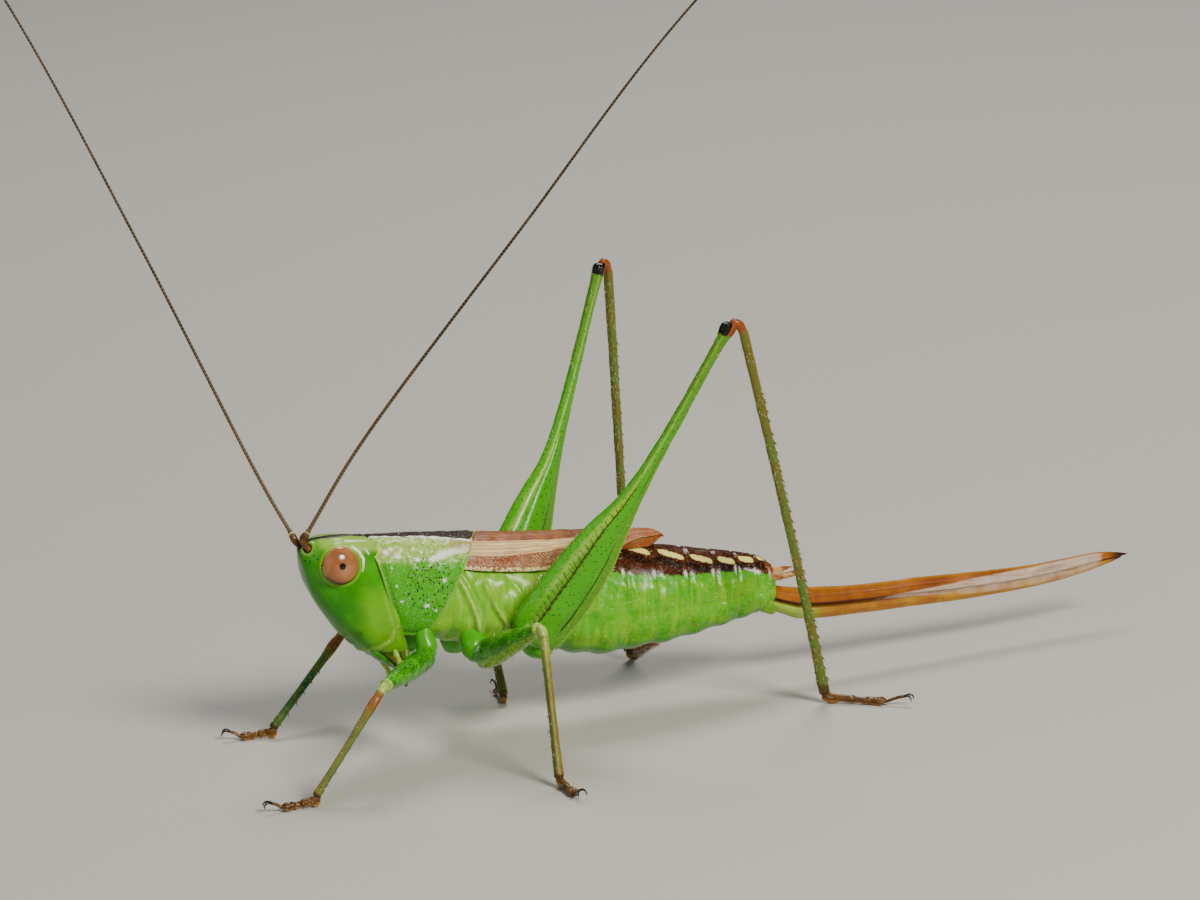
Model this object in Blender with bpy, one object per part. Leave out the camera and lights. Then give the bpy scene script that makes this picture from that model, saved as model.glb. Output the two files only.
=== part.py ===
"""A female short-winged meadow katydid at life size, standing still, one object for each part.

Lengths below are millimetres. The body is drawn in its own axes: x runs back from the tip of the
head, y to the animal's right and z up from that tip, and BODY tips those axes into the pose.
Legs and feelers are drawn in the pose itself, where z = 0 is the floor and the head is toward -X.
"""

from math import cos, pi, radians, sin, sqrt

import bmesh
import bpy
from mathutils import Matrix, Vector

MM = 0.001                      # one millimetre in metres
GAP = 0.03                      # clearance between pieces that touch
LIMB = 0.25                     # least half thickness of a limb, feeler or wing plate

# Pose of the body
NOSE = Vector((-10.53, 0.14, 7.23))
PITCH = radians(7.8)            # nose up
LEAN = radians(6.0)             # back leans to the animal's right
BODY = Matrix.Translation(NOSE) @ Matrix.Rotation(-LEAN, 4, 'X') @ Matrix.Rotation(PITCH, 4, 'Y')

# Trunk, as rows of station, top, bottom, half width
PRONOTUM = ((1.9, 0.36, -2.95, 1.12), (3.0, 0.37, -3.12, 1.36), (4.2, 0.37, -3.10, 1.45),
            (5.8, 0.37, -2.95, 1.42))
TRUNK = ((3.6, -0.16, -3.05, 1.30), (5.5, -0.17, -3.20, 1.40), (7.8, -0.17, -3.45, 1.42),
         (10.0, -0.18, -3.80, 1.38), (11.2, -0.19, -3.68, 1.34), (12.6, -0.22, -3.46, 1.26),
         (14.0, -0.38, -3.14, 1.10), (15.0, -0.50, -2.85, 0.94), (15.9, -0.66, -2.58, 0.72),
         (16.5, -0.98, -2.30, 0.45))
COLLAR_MIDDLE = -1.4            # height that the collar swells away from
HEAD_SEAM = (2.08, -0.33)       # station where the collar starts, and its change with height
WING_SEAM = (5.45, 0.50)        # station where the collar ends, and its change with height
WAIST = 8.7                     # station where the abdomen starts
THORAX_SLICES = (4.6, 5.9)      # stations of the trunk's outline at the collar and just behind it
TERGITE_EDGES = (8.7, 9.7, 10.65, 11.6, 12.6, 13.47, 14.2, 14.95, 15.6, 16.3)
ABDOMEN_CUTS = ((0, 3, 'abdomen_front'), (3, 6, 'abdomen_middle'), (6, 9, 'abdomen_rear'))
TRUNK_TAPER = 0.16              # how much narrower the back is than the belly
PLATE = ((16.34, -2.02, -2.52, 0.40), (16.7, -2.66, -2.88, 0.40), (17.3, -2.90, -3.02, 0.26))
LID = ((16.34, -1.10, -1.66, 0.32), (16.6, -1.18, -1.66, 0.28), (16.85, -1.36, -1.64, 0.16))
CERCUS = ((16.36, 0.56, -1.40), (16.7, 0.66, -1.30), (17.2, 0.68, -1.24))   # on the right side

# Head, as rows of height, front of the face, half width, roundness of the front
HEAD = ((0.38, 1.35, 0.16, 2.0), (0.33, 0.62, 0.62, 1.7), (0.22, 0.10, 0.86, 1.5),
        (0.05, -0.12, 0.98, 1.35), (-0.28, -0.10, 1.06, 1.4), (-0.56, -0.03, 1.10, 1.5),
        (-1.12, 0.15, 1.14, 1.8), (-1.80, 0.51, 1.18, 2.1), (-2.66, 1.19, 1.17, 2.2),
        (-3.17, 1.71, 1.06, 2.2), (-3.42, 2.04, 0.92, 2.2))
EYE_CENTRE = Vector((1.03, 1.02, -0.49))
EYE_RADII = Vector((0.60, 0.40, 0.62))
LIP = ((-3.45, 2.08, 0.80), (-3.66, 2.40, 0.66), (-3.88, 2.78, 0.48), (-4.08, 3.16, 0.22))
LIP_DEPTH = 0.30
JAW_CHAMFER = 0.08
JAW = ((-3.45, 2.43, 3.20, 0.80), (-3.72, 2.86, 3.24, 0.62), (-3.96, 3.30, 3.42, 0.34))
PALPS = {                       # the two pairs of mouth feelers, on the right side
    'upper': ((2.98, 1.16, -3.50), (3.12, 1.06, -3.82), (3.36, 0.80, -4.30), (3.46, 0.62, -4.66)),
    'lower': ((3.62, 0.28, -3.66), (3.70, 0.28, -4.08), (4.00, 0.30, -4.36))}

# Wings
WING_THICK = 0.50
WING_START = 5.0
WING_NARROWS = 11.4             # stations where the tip starts to round off and to thin
WING_THINS = 11.9
WING_TIP = 12.54
WING_LOW = ((5.0, -0.72), (6.5, -0.88), (8.0, -0.86), (9.5, -0.70), (11.8, -0.26), (12.54, 0.0))

# Egg layer, as rows of station, top, bottom
OVIPOSITOR = ((16.75, -1.72, -2.62), (17.6, -1.80, -2.86), (19.8, -1.76, -2.74),
              (21.9, -1.58, -2.54), (23.4, -1.49, -2.41), (25.7, -1.32, -2.10),
              (27.1, -1.12, -1.84), (28.5, -0.92, -1.47), (29.68, -0.96, -1.06))
OVIPOSITOR_SPLIT = 0.56         # share of its depth that the upper valves take
OVIPOSITOR_HALF = (0.31, 0.25, 0.12)    # half width at the root, near the tip and at the tip

# Legs: hips in body axes for the animal's right side, knees and ankles in the pose
HIPS = {'front': Vector((4.05, 1.05, -3.55)), 'middle': Vector((5.74, 1.32, -3.60)),
        'hind': Vector((7.84, 1.88, -3.40))}
COXAE = {                       # upper centre, lower centre, upper and lower half width
    'front': (Vector((4.08, 0.66, -3.20)), Vector((4.15, 0.82, -3.86)), 0.36, 0.30),
    'middle': (Vector((5.62, 0.66, -3.34)), Vector((5.70, 0.98, -3.94)), 0.46, 0.34),
    'hind': (Vector((7.62, 0.72, -3.52)), Vector((7.76, 0.98, -4.00)), 0.46, 0.36)}
KNEES = {'front_left': Vector((-9.59, -4.30, 3.34)), 'front_right': Vector((-7.90, 4.60, 2.84)),
         'middle_left': Vector((-4.50, -5.50, 4.64)), 'middle_right': Vector((-2.90, 5.20, 4.00)),
         'hind_left': Vector((3.15, -5.00, 13.50)), 'hind_right': Vector((2.47, 5.00, 13.82))}
ANKLES = {'front_left': Vector((-12.17, -4.68, 0.45)), 'front_right': Vector((-10.96, 3.48, 0.45)),
          'middle_left': Vector((-4.92, -7.30, 0.45)), 'middle_right': Vector((-3.18, 2.61, 0.45)),
          'hind_left': Vector((5.86, -3.68, 0.45)), 'hind_right': Vector((2.30, 4.97, 0.45))}
FOOT_HEADINGS = {'front_left': (-0.99, 0.14), 'front_right': (-0.92, 0.39),
                 'middle_left': (0.03, -1.00), 'middle_right': (0.20, 0.98),
                 'hind_left': (0.74, -0.67), 'hind_right': (0.73, 0.68)}
FOOT_LENGTHS = {'front': 1.60, 'middle': 1.75, 'hind': 2.90}
FOOT_TOP = 0.44                 # height of the foot at the ankle
FOOT = ((-0.10, 0.20, 0.40), (-0.02, 0.26, FOOT_TOP), (0.16, 0.28, 0.42), (0.36, 0.27, 0.36),
        (0.52, 0.30, 0.36), (0.66, 0.32, 0.34), (0.76, 0.25, 0.30), (0.90, 0.25, 0.34),
        (1.0, 0.18, 0.26))      # share of the length, half width, height
FOOT_SECTION = ((-0.8, 0.0), (0.8, 0.0), (1.0, 0.35), (0.75, 0.85), (0.0, 1.0), (-0.75, 0.85),
                (-1.0, 0.35))

# Femora, as rows of share of the length, half depth, half thickness, shift toward the back edge
FEMUR_FRONT = ((0.0, 0.34, 0.30, 0.0), (0.12, 0.46, 0.38, 0.0), (0.45, 0.45, 0.38, 0.0),
               (0.80, 0.34, 0.30, 0.0), (1.0, 0.30, 0.28, 0.0))
FEMUR_MIDDLE = ((0.0, 0.36, 0.32, 0.0), (0.14, 0.50, 0.40, 0.0), (0.45, 0.46, 0.38, 0.0),
                (0.80, 0.31, 0.29, 0.0), (1.0, 0.30, 0.28, 0.0))
FEMUR_HIND = ((0.0, 0.76, 0.30, 0.52), (0.05, 1.03, 0.42, 0.60), (0.13, 1.10, 0.50, 0.49),
              (0.25, 1.00, 0.48, 0.31), (0.36, 0.74, 0.38, 0.20), (0.47, 0.41, 0.29, 0.05),
              (0.62, 0.27, 0.26, 0.0), (0.88, 0.26, 0.26, 0.0), (0.97, 0.34, 0.28, 0.0),
              (1.0, 0.30, 0.26, 0.0))
FEMORA = {'front': FEMUR_FRONT, 'middle': FEMUR_MIDDLE, 'hind': FEMUR_HIND}
BLADE_TURNS = {'hind_left': radians(12), 'hind_right': radians(-32)}    # at the hip, none at the knee

SHINS = {'front': ((0.0, 0.25, 0.25, 0.0), (0.2, 0.30, 0.27, 0.0), (0.5, 0.25, 0.25, 0.0),
                   (1.0, 0.25, 0.25, 0.0)),
         'middle': ((0.0, 0.26, 0.25, 0.0), (0.5, 0.25, 0.25, 0.0), (1.0, 0.25, 0.25, 0.0)),
         'hind': ((0.0, 0.27, 0.25, 0.0), (0.5, 0.25, 0.25, 0.12), (1.0, 0.25, 0.25, 0.0))}

# Feelers: where they leave the head in body axes, and their routes in the pose, about 45 long
SCAPE = (0.34, 0.76, 1.00)      # distances from the root of its start, its swelling and its end
FEELER_ROOTS = {'left': Vector((-0.02, -0.36, 0.34)), 'right': Vector((-0.10, 0.34, 0.22))}
FEELER_ROUTES = {
    'left': (Vector((-8.24, -1.26, 11.14)), Vector((-3.48, -3.83, 17.49)),
             Vector((1.90, -6.83, 24.58)), Vector((9.20, -10.6, 31.80)),
             Vector((17.5, -14.6, 37.60))),
    'right': (Vector((-11.52, 1.67, 9.99)), Vector((-13.84, 4.45, 17.27)),
              Vector((-16.60, 7.53, 25.13)), Vector((-20.6, 10.7, 33.60)),
              Vector((-25.8, 13.6, 41.00)))}

COLOURS = {                     # sRGB
    'head': '62A818', 'eye': 'B0705A', 'mouth': '8FB04A', 'collar': '5E9C22', 'thorax': '8FC24A',
    'wing': '9A6A42', 'abdomen': '6CB51F', 'plate': 'B4B83E', 'cercus': 'B98A55',
    'ovipositor': 'A9602C', 'leg_green': '5C9F2A', 'shin': '6E7C33', 'foot': '7E6642',
    'feeler': '6B4A2E'}


def bare_file():
    """Remove whatever the file opened with."""
    for item in list(bpy.data.objects):
        bpy.data.objects.remove(item, do_unlink=True)


def channel(value):
    return value / 12.92 if value <= 0.04045 else ((value + 0.055) / 1.055) ** 2.4


def material(name, roughness=0.4):
    """Return the plain painted finish called name."""
    found = bpy.data.materials.get(name)
    if found:
        return found
    made = bpy.data.materials.new(name)
    made.use_nodes = True
    shader = made.node_tree.nodes['Principled BSDF']
    code = COLOURS[name]
    rgb = [channel(int(code[i:i + 2], 16) / 255) for i in (0, 2, 4)]
    shader.inputs['Base Color'].default_value = (*rgb, 1.0)
    shader.inputs['Roughness'].default_value = roughness
    shader.inputs['Metallic'].default_value = 0.0
    return made


def along(rows, x):
    """Read a table of rows at x, on a smooth curve through them."""
    last = len(rows) - 1
    i = 0
    while i < last - 1 and (rows[i + 1][0] - x) * (rows[last][0] - rows[0][0]) < 0:
        i += 1
    a, b = rows[i], rows[i + 1]
    before, after = rows[max(i - 1, 0)], rows[min(i + 2, last)]
    span = b[0] - a[0]
    t = min(max((x - a[0]) / span, 0.0), 1.0)
    out = []
    for k in range(1, len(a)):
        slope_a = (b[k] - before[k]) / (b[0] - before[0]) * span
        slope_b = (after[k] - a[k]) / (after[0] - a[0]) * span
        out.append(a[k] * (2 * t ** 3 - 3 * t ** 2 + 1) + slope_a * (t ** 3 - 2 * t ** 2 + t)
                   + b[k] * (3 * t ** 2 - 2 * t ** 3) + slope_b * (t ** 3 - t ** 2))
    return out


def power(value, exponent):
    """A signed power, which squares or sharpens a round outline."""
    return abs(value) ** exponent if value >= 0 else -abs(value) ** exponent


def finish(name, mesh, finish_name):
    """Give a mesh in millimetres its scale, finish and object."""
    mesh.transform(Matrix.Scale(MM, 4))
    mesh.materials.append(material(finish_name))
    mesh.shade_smooth()
    mesh.set_sharp_from_angle(angle=radians(40))
    made = bpy.data.objects.new(name, mesh)
    PARTS.objects.link(made)
    made.parent = ROOT
    return made


def loft(name, rings, finish_name, frame=None):
    """Close a row of like rings, with a fan over each end."""
    bm = bmesh.new()
    rows = [[bm.verts.new(point) for point in ring] for ring in rings]
    count = len(rings[0])
    for near, far in zip(rows, rows[1:]):
        for k in range(count):
            j = (k + 1) % count
            bm.faces.new((near[k], near[j], far[j], far[k]))
    for row in (rows[0], rows[-1]):
        hub = bm.verts.new(sum((v.co for v in row), Vector()) / count)
        for k in range(count):
            bm.faces.new((row[k], row[(k + 1) % count], hub))
    bmesh.ops.recalc_face_normals(bm, faces=bm.faces)
    if frame:
        bmesh.ops.transform(bm, matrix=frame, verts=bm.verts)
    mesh = bpy.data.meshes.new(name)
    bm.to_mesh(mesh)
    bm.free()
    return finish(name, mesh, finish_name)


def tube(name, points, radii, finish_name, resolution=2):
    """A round tube through points, as thick as radii says at each."""
    data = bpy.data.curves.new(name, 'CURVE')
    data.dimensions = '3D'
    data.bevel_depth = MM
    data.bevel_resolution = resolution
    data.use_fill_caps = True
    spline = data.splines.new('POLY')
    spline.points.add(len(points) - 1)
    for knot, point, radius in zip(spline.points, points, radii):
        knot.co = (*(point * MM), 1.0)
        knot.radius = radius
    data.materials.append(material(finish_name))
    made = bpy.data.objects.new(name, data)
    PARTS.objects.link(made)
    made.parent = ROOT
    return made


def oval(x, top, bottom, half_width, taper, count, exponent=0.9):
    """An upright ring across the body at station x, narrower at the back by taper."""
    middle, half = (top + bottom) / 2, (top - bottom) / 2
    ring = []
    for k in range(count):
        turn = 2 * pi * k / count
        y = half_width * power(cos(turn), exponent) * (1 - taper * sin(turn))
        ring.append(Vector((x, y, middle + half * power(sin(turn), exponent))))
    return ring


def lean_to(ring, station, slope, shift=0.0):
    """Slide a ring along the body onto a slanted cut."""
    return [Vector((station + slope * p.z + shift, p.y, p.z)) for p in ring]


def between(first, second, t):
    return [a.lerp(b, t) for a, b in zip(first, second)]


def make_collar():
    """The saddle-shaped plate behind the head, with the first thorax segment inside it."""
    count, steps = 20, 6
    front = lean_to(oval(0, *along(PRONOTUM, 2.4), -0.10, count, 0.80), *HEAD_SEAM, GAP)
    back = lean_to(oval(0, *along(PRONOTUM, 4.9), -0.10, count, 0.80), *WING_SEAM, -GAP)
    rings = []
    for i in range(steps + 1):
        t = i / steps
        swell = 1 + 0.035 * sin(pi * t) ** 2
        rise = 1 + 0.01 * sin(pi * t)
        rings.append([Vector((p.x, p.y * swell, COLLAR_MIDDLE + (p.z - COLLAR_MIDDLE) * rise))
                      for p in between(front, back, t)])
    loft('pronotum', rings, 'collar', BODY)


def trunk_ring(x, scale=1.0, count=20):
    top, bottom, half_width = along(TRUNK, x)
    middle = (top + bottom) / 2
    return [Vector((p.x, p.y * scale, middle + (p.z - middle) * scale))
            for p in oval(x, top, bottom, half_width, TRUNK_TAPER, count)]


def make_thorax():
    """The two wing-bearing segments, from the collar to the waist."""
    front, behind = THORAX_SLICES
    first = lean_to(trunk_ring(front), *WING_SEAM, GAP)
    steps = 6
    rings = [first]
    for i in range(1, steps + 1):
        t = i / steps
        target = trunk_ring(behind + (WAIST - GAP - behind) * t)
        blend = min(1.0, t * 1.6)
        rings.append([Vector((a.x + (b.x - a.x) * t if t < 1 else b.x, a.y + (b.y - a.y) * blend,
                              a.z + (b.z - a.z) * blend)) for a, b in zip(first, target)])
    loft('thorax', rings, 'thorax', BODY)


def make_abdomen():
    """Nine belted segments in three lengths."""
    for first, last, name in ABDOMEN_CUTS:
        rings = []
        for k in range(first, last):
            start, end = TERGITE_EDGES[k], TERGITE_EDGES[k + 1]
            inset = GAP if k == first else 0.0
            for share, scale in ((0.0, 0.955), (0.16, 0.985), (0.86, 1.0)):
                rings.append(trunk_ring(start + inset + (end - start - inset) * share, scale))
        rings.append(trunk_ring(TERGITE_EDGES[last], 0.955))
        loft(name, rings, 'abdomen', BODY)


def make_rear():
    """The plate under the egg layer, the lid above it and the two short cerci."""
    loft('subgenital_plate', [oval(*row, 0.25, 12) for row in PLATE], 'plate', BODY)
    loft('epiproct', [oval(*row, 0.1, 12) for row in LID], 'abdomen', BODY)
    for side, name in ((-1, 'left'), (1, 'right')):
        points = [BODY @ Vector((x, side * y, z)) for x, y, z in CERCUS]
        tube('cercus_' + name, points, (LIMB, LIMB, 0.12), 'cercus')


def make_ovipositor():
    """The blade-like egg layer: upper and lower valves, one above the other."""
    count = 14
    first, last = OVIPOSITOR[0][0], OVIPOSITOR[-1][0]
    root, near_tip, tip = OVIPOSITOR_HALF
    upper, lower = [], []
    for i in range(count + 1):
        x = first + (last - first) * i / count
        top, bottom = along(OVIPOSITOR, x)
        seam = top + (bottom - top) * OVIPOSITOR_SPLIT
        half = root + (near_tip - root) * i / count if i < count else tip
        upper.append(oval(x, top, seam + GAP / 2, half, 0.25, 10, 0.8))
        if i < count:
            lower.append(oval(x, seam - GAP / 2, bottom, half * 0.92, -0.25, 10, 0.8))
    loft('ovipositor_upper', upper, 'ovipositor', BODY)
    loft('ovipositor_lower', lower, 'ovipositor', BODY)


def make_wings():
    """Two short wing covers that meet over the back, as plates folded round the trunk."""
    stations, arcs = 14, 6
    for side, name in ((-1, 'left'), (1, 'right')):
        rings = []
        for i in range(stations + 1):
            x = WING_START + (WING_TIP - WING_START) * (1 - (1 - i / stations) ** 1.25)
            top, bottom, half_width = along(TRUNK, x)
            middle, half = (top + bottom) / 2, (top - bottom) / 2
            low, = along(WING_LOW, x)
            lowest = level_of(low - 0.1, middle, half)
            narrow = 0.12 + 0.88 * rounding(x, WING_NARROWS)
            thick = WING_THICK * (0.4 + 0.6 * rounding(x, WING_THINS))
            outer, inner = [], []
            for j in range(arcs + 1):
                share = 0.45 + (j / arcs - 0.45) * narrow
                level = 0.5 * pi - (0.5 * pi - lowest) * share
                z = middle + half * power(sin(level), 0.9)
                y = half_width * power(cos(level), 0.9) * (1 - TRUNK_TAPER * sin(level))
                out = Vector((0, y / half_width, (z - middle) / half)).normalized()
                for row, reach in ((outer, GAP + thick), (inner, GAP)):
                    p = Vector((x, y, z)) + out * reach
                    p.x = max(p.x, along_seam(p.z))
                    p.y = max(p.y, GAP / 2)
                    row.append(Vector((p.x, side * p.y, p.z)))
            rings.append(outer + inner[::-1])
        loft('tegmen_' + name, rings, 'wing', BODY)


def rounding(x, start):
    """Fall from 1 at start to 0 at the wing's tip along a quarter round."""
    return sqrt(max(0.0, 1 - max(0.0, (x - start) / (WING_TIP - start)) ** 2))


def along_seam(z):
    """Station of the collar's rear edge at a height."""
    return WING_SEAM[0] + WING_SEAM[1] * z + GAP


def level_of(z, middle, half):
    """Turn round the trunk at which its outline has height z."""
    share = max(-1.0, min(1.0, (z - middle) / half))
    low, high = -0.5 * pi, 0.5 * pi
    for _ in range(30):
        guess = (low + high) / 2
        if power(sin(guess), 0.9) < share:
            low = guess
        else:
            high = guess
    return (low + high) / 2


def head_ring(z, count, front, half_width, roundness, back):
    """A level slice of the head: a rounded face and a flat back."""
    centre = front + (back - front) * 0.62
    ring = []
    for k in range(count):
        turn = 2 * pi * k / count
        c, s = cos(turn), sin(turn)
        if c >= 0:
            x = centre - (centre - front) * power(c, 2 / roundness)
            y = half_width * power(s, 2 / max(roundness, 1.7))
        else:
            x = centre + (back - centre) * power(-c, 0.30)
            y = half_width * power(s, 0.62) * (1 - 0.06 * c * c)
        ring.append(Vector((x, y, z)))
    return ring


def make_head():
    """The head capsule, with a socket cut for each eye, the eyes and the mouth parts."""
    rings = []
    heights = [row[0] for row in HEAD] + [-0.84, -1.4, -2.2, -2.95]
    for z in sorted(heights, reverse=True):
        front, half_width, roundness = along(HEAD, z)
        back = HEAD_SEAM[0] + HEAD_SEAM[1] * z - GAP
        rings.append(head_ring(z, 24, front, half_width, roundness, back))
    head = loft('head', rings, 'head', BODY)
    for side, name in ((-1, 'left'), (1, 'right')):
        centre = BODY @ Vector((EYE_CENTRE.x, side * EYE_CENTRE.y, EYE_CENTRE.z))
        for role, extra, where in (('eye_' + name, 0.0, PARTS), ('socket_' + name, GAP, CUTTERS)):
            bpy.ops.mesh.primitive_uv_sphere_add(segments=16, ring_count=10, radius=1.0)
            ball = bpy.context.object
            ball.name = ball.data.name = role
            size = EYE_RADII + Vector((extra, extra, extra))
            place = Matrix.Translation(centre) @ BODY.to_3x3().to_4x4() @ Matrix.Diagonal((*size, 1))
            ball.data.transform(Matrix.Scale(MM, 4) @ place)
            ball.data.materials.append(material('eye'))
            ball.data.shade_smooth()
            for group in list(ball.users_collection):
                group.objects.unlink(ball)
            where.objects.link(ball)
            ball.parent = ROOT
        cut = head.modifiers.new('socket_' + name, 'BOOLEAN')
        cut.operation = 'DIFFERENCE'
        cut.object = ball
        ball.hide_render = True
        ball.display_type = 'WIRE'


def make_mouth():
    """Upper lip, jaws and the two pairs of mouth feelers."""
    lip = [head_ring(z, 14, front, half, 2.0, front + LIP_DEPTH) for z, front, half in LIP]
    loft('labrum', lip, 'mouth', BODY)
    for side, name in ((-1, 'left'), (1, 'right')):
        jaw = []
        for z, front, back, outer in JAW:
            middle = outer * 0.55
            jaw.append([Vector((x, side * y, z)) for x, y in
                        ((front, GAP), (front, middle), (front + JAW_CHAMFER, outer),
                         (back - JAW_CHAMFER, outer), (back, middle), (back, GAP))])
        loft('mandible_' + name, jaw, 'mouth', BODY)
        for pair, route in PALPS.items():
            points = [BODY @ Vector((x, side * y, z)) for x, y, z in route]
            tube('palp_%s_%s' % (pair, name), points, (LIMB,) * len(points), 'mouth')


def smooth_route(points, count):
    """Points spread evenly on a smooth curve through the given ones."""
    fine = []
    for i in range(len(points) - 1):
        p0, p1 = points[max(i - 1, 0)], points[i]
        p2, p3 = points[i + 1], points[min(i + 2, len(points) - 1)]
        for k in range(20):
            t = k / 20
            fine.append(0.5 * (2 * p1 + (p2 - p0) * t + (2 * p0 - 5 * p1 + 4 * p2 - p3) * t * t
                               + (3 * p1 - p0 - 3 * p2 + p3) * t ** 3))
    fine.append(points[-1])
    steps = [0.0]
    for a, b in zip(fine, fine[1:]):
        steps.append(steps[-1] + (b - a).length)
    spread = []
    k = 0
    for i in range(count + 1):
        goal = steps[-1] * i / count
        while k < len(fine) - 2 and steps[k + 1] < goal:
            k += 1
        t = (goal - steps[k]) / (steps[k + 1] - steps[k])
        spread.append(fine[k].lerp(fine[k + 1], t))
    return spread


def make_feelers():
    """A short jointed base and a thread in three lengths on each side."""
    for name in ('left', 'right'):
        root = BODY @ FEELER_ROOTS[name]
        route = smooth_route((root, *FEELER_ROUTES[name]), 30)
        heading = (route[1] - route[0]).normalized()
        tube('scape_' + name, [root + heading * reach for reach in SCAPE], (0.26, 0.26, LIMB),
             'feeler')
        thread = [root + heading * (SCAPE[-1] + GAP)] + route[2:]
        third = len(thread) // 3
        for n in range(3):
            piece = thread[n * third:(n + 1) * third + 1] if n < 2 else thread[2 * third:]
            if n:
                heading = (piece[1] - piece[0]).normalized()
                piece[0] = piece[0] + heading * GAP
            tube('feeler_%s_%d' % (name, n + 1), piece, (LIMB,) * len(piece), 'feeler')


def part_ends(before, joint, after, half_before, half_after):
    """Ends of two limbs that meet at a joint, on either side of the plane between them."""
    back = (before - joint).normalized()
    on = (after - joint).normalized()
    across = (on - back).normalized()
    return joint - across * (half_before + GAP / 2), joint + across * (half_after + GAP / 2)


def limb(name, start, end, rows, side_normal, count, rings, finish_name, cut=None, turn=0.0):
    """A limb with oval sections, deep in the leg's own plane, with its end round or cut level."""
    heading = (end - start).normalized()
    leg_deep = heading.cross(side_normal).normalized()
    stack = []
    for i in range(rings + 1):
        t = i / rings
        deep = Matrix.Rotation(turn * (1 - t), 3, heading) @ leg_deep
        wide = heading.cross(deep).normalized()
        half_deep, half_wide, shift = along(rows, t)
        close = 0.62 if i == 0 or (i == rings and cut is None) else 1.0
        centre = start.lerp(end, t) + deep * shift
        stack.append([centre + deep * half_deep * close * cos(a) + wide * half_wide * close * sin(a)
                      for a in (2 * pi * k / count for k in range(count))])
    if cut is not None:
        stack[-1] = [p - heading * ((p.z - cut) / heading.z) for p in stack[-1]]
    loft(name, stack, finish_name)


def make_foot(name, ankle, heading, length):
    """Four short foot joints with pads, flat underneath, and a pair of claws at the tip."""
    on = Vector((*heading, 0)).normalized()
    wide = Vector((-on.y, on.x, 0))
    rings = []
    for share, half, height in FOOT:
        centre = ankle + on * (length * share)
        rings.append([Vector((centre.x, centre.y, 0)) + wide * (half * y) + Vector((0, 0, height * z))
                      for y, z in FOOT_SECTION])
    loft('tarsus_' + name, rings, 'foot')


def make_leg(pair, side_name):
    """One leg: hip piece, thigh, shin and foot, each clear of the next by GAP."""
    side = -1 if side_name == 'left' else 1
    name = pair + '_' + side_name
    upper, lower, upper_half, lower_half = COXAE[pair]
    coxa = []
    for t in (0.0, 0.5, 0.85, 1.0):
        centre = upper.lerp(lower, t)
        half = upper_half + (lower_half - upper_half) * t - (0.12 if t == 1.0 else 0.0)
        coxa.append([Vector((centre.x + half * cos(a), side * centre.y + half * sin(a), centre.z))
                     for a in (2 * pi * k / 10 for k in range(10))])
    loft('coxa_' + name, coxa, 'leg_green', BODY)
    hip = BODY @ Vector((HIPS[pair].x, side * HIPS[pair].y, HIPS[pair].z))
    knee, ankle = KNEES[name], ANKLES[name]
    rows = FEMORA[pair]
    normal = (knee - hip).cross(ankle - knee).normalized()
    femur_start = hip + (knee - hip).normalized() * rows[0][2]
    femur_end, tibia_start = part_ends(hip, knee, ankle, rows[-1][1], LIMB)
    rings = 16 if pair == 'hind' else 8
    limb('femur_' + name, femur_start, femur_end, rows, normal, 12, rings, 'leg_green',
         turn=BLADE_TURNS.get(name, 0.0))
    heading = (ankle - tibia_start).normalized()
    tibia_end = ankle - heading * ((ankle.z - FOOT_TOP - 0.5) / heading.z)
    limb('tibia_' + name, tibia_start, tibia_end, SHINS[pair], normal, 8, 6, 'shin', FOOT_TOP + GAP)
    make_foot(name, ankle, FOOT_HEADINGS[name], FOOT_LENGTHS[pair])


def centre_on_floor():
    """Slide the whole animal so that its outline is centred over the origin."""
    bpy.context.view_layer.update()
    points = []
    graph = bpy.context.evaluated_depsgraph_get()
    for item in (piece for piece in PARTS.objects if piece.type != 'EMPTY'):
        shown = item.evaluated_get(graph)
        points += [shown.matrix_world @ vertex.co for vertex in shown.to_mesh().vertices]
        shown.to_mesh_clear()
    for axis in (0, 1):
        low = min(point[axis] for point in points)
        high = max(point[axis] for point in points)
        ROOT.location[axis] = -(low + high) / 2


bare_file()
PARTS = bpy.data.collections.new('meadow_katydid')
CUTTERS = bpy.data.collections.new('cutters')
for group in (PARTS, CUTTERS):
    bpy.context.scene.collection.children.link(group)
ROOT = bpy.data.objects.new('katydid_root', None)
PARTS.objects.link(ROOT)

make_head()
make_mouth()
make_feelers()
make_collar()
make_thorax()
make_abdomen()
make_rear()
make_ovipositor()
make_wings()
for PAIR in ('front', 'middle', 'hind'):
    for SIDE in ('left', 'right'):
        make_leg(PAIR, SIDE)
centre_on_floor()
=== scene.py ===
"""Looks of a life-size meadow katydid: its skin, wings, eyes, feelers, spines and finishes.

Lengths are millimetres until placed() turns them into metres. The body is drawn in its own axes:
x runs back from the tip of the head, y to the animal's right and z up from that tip. Legs and feelers
are drawn in the pose, where z = 0 is the floor and the head is toward -X.
"""

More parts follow.
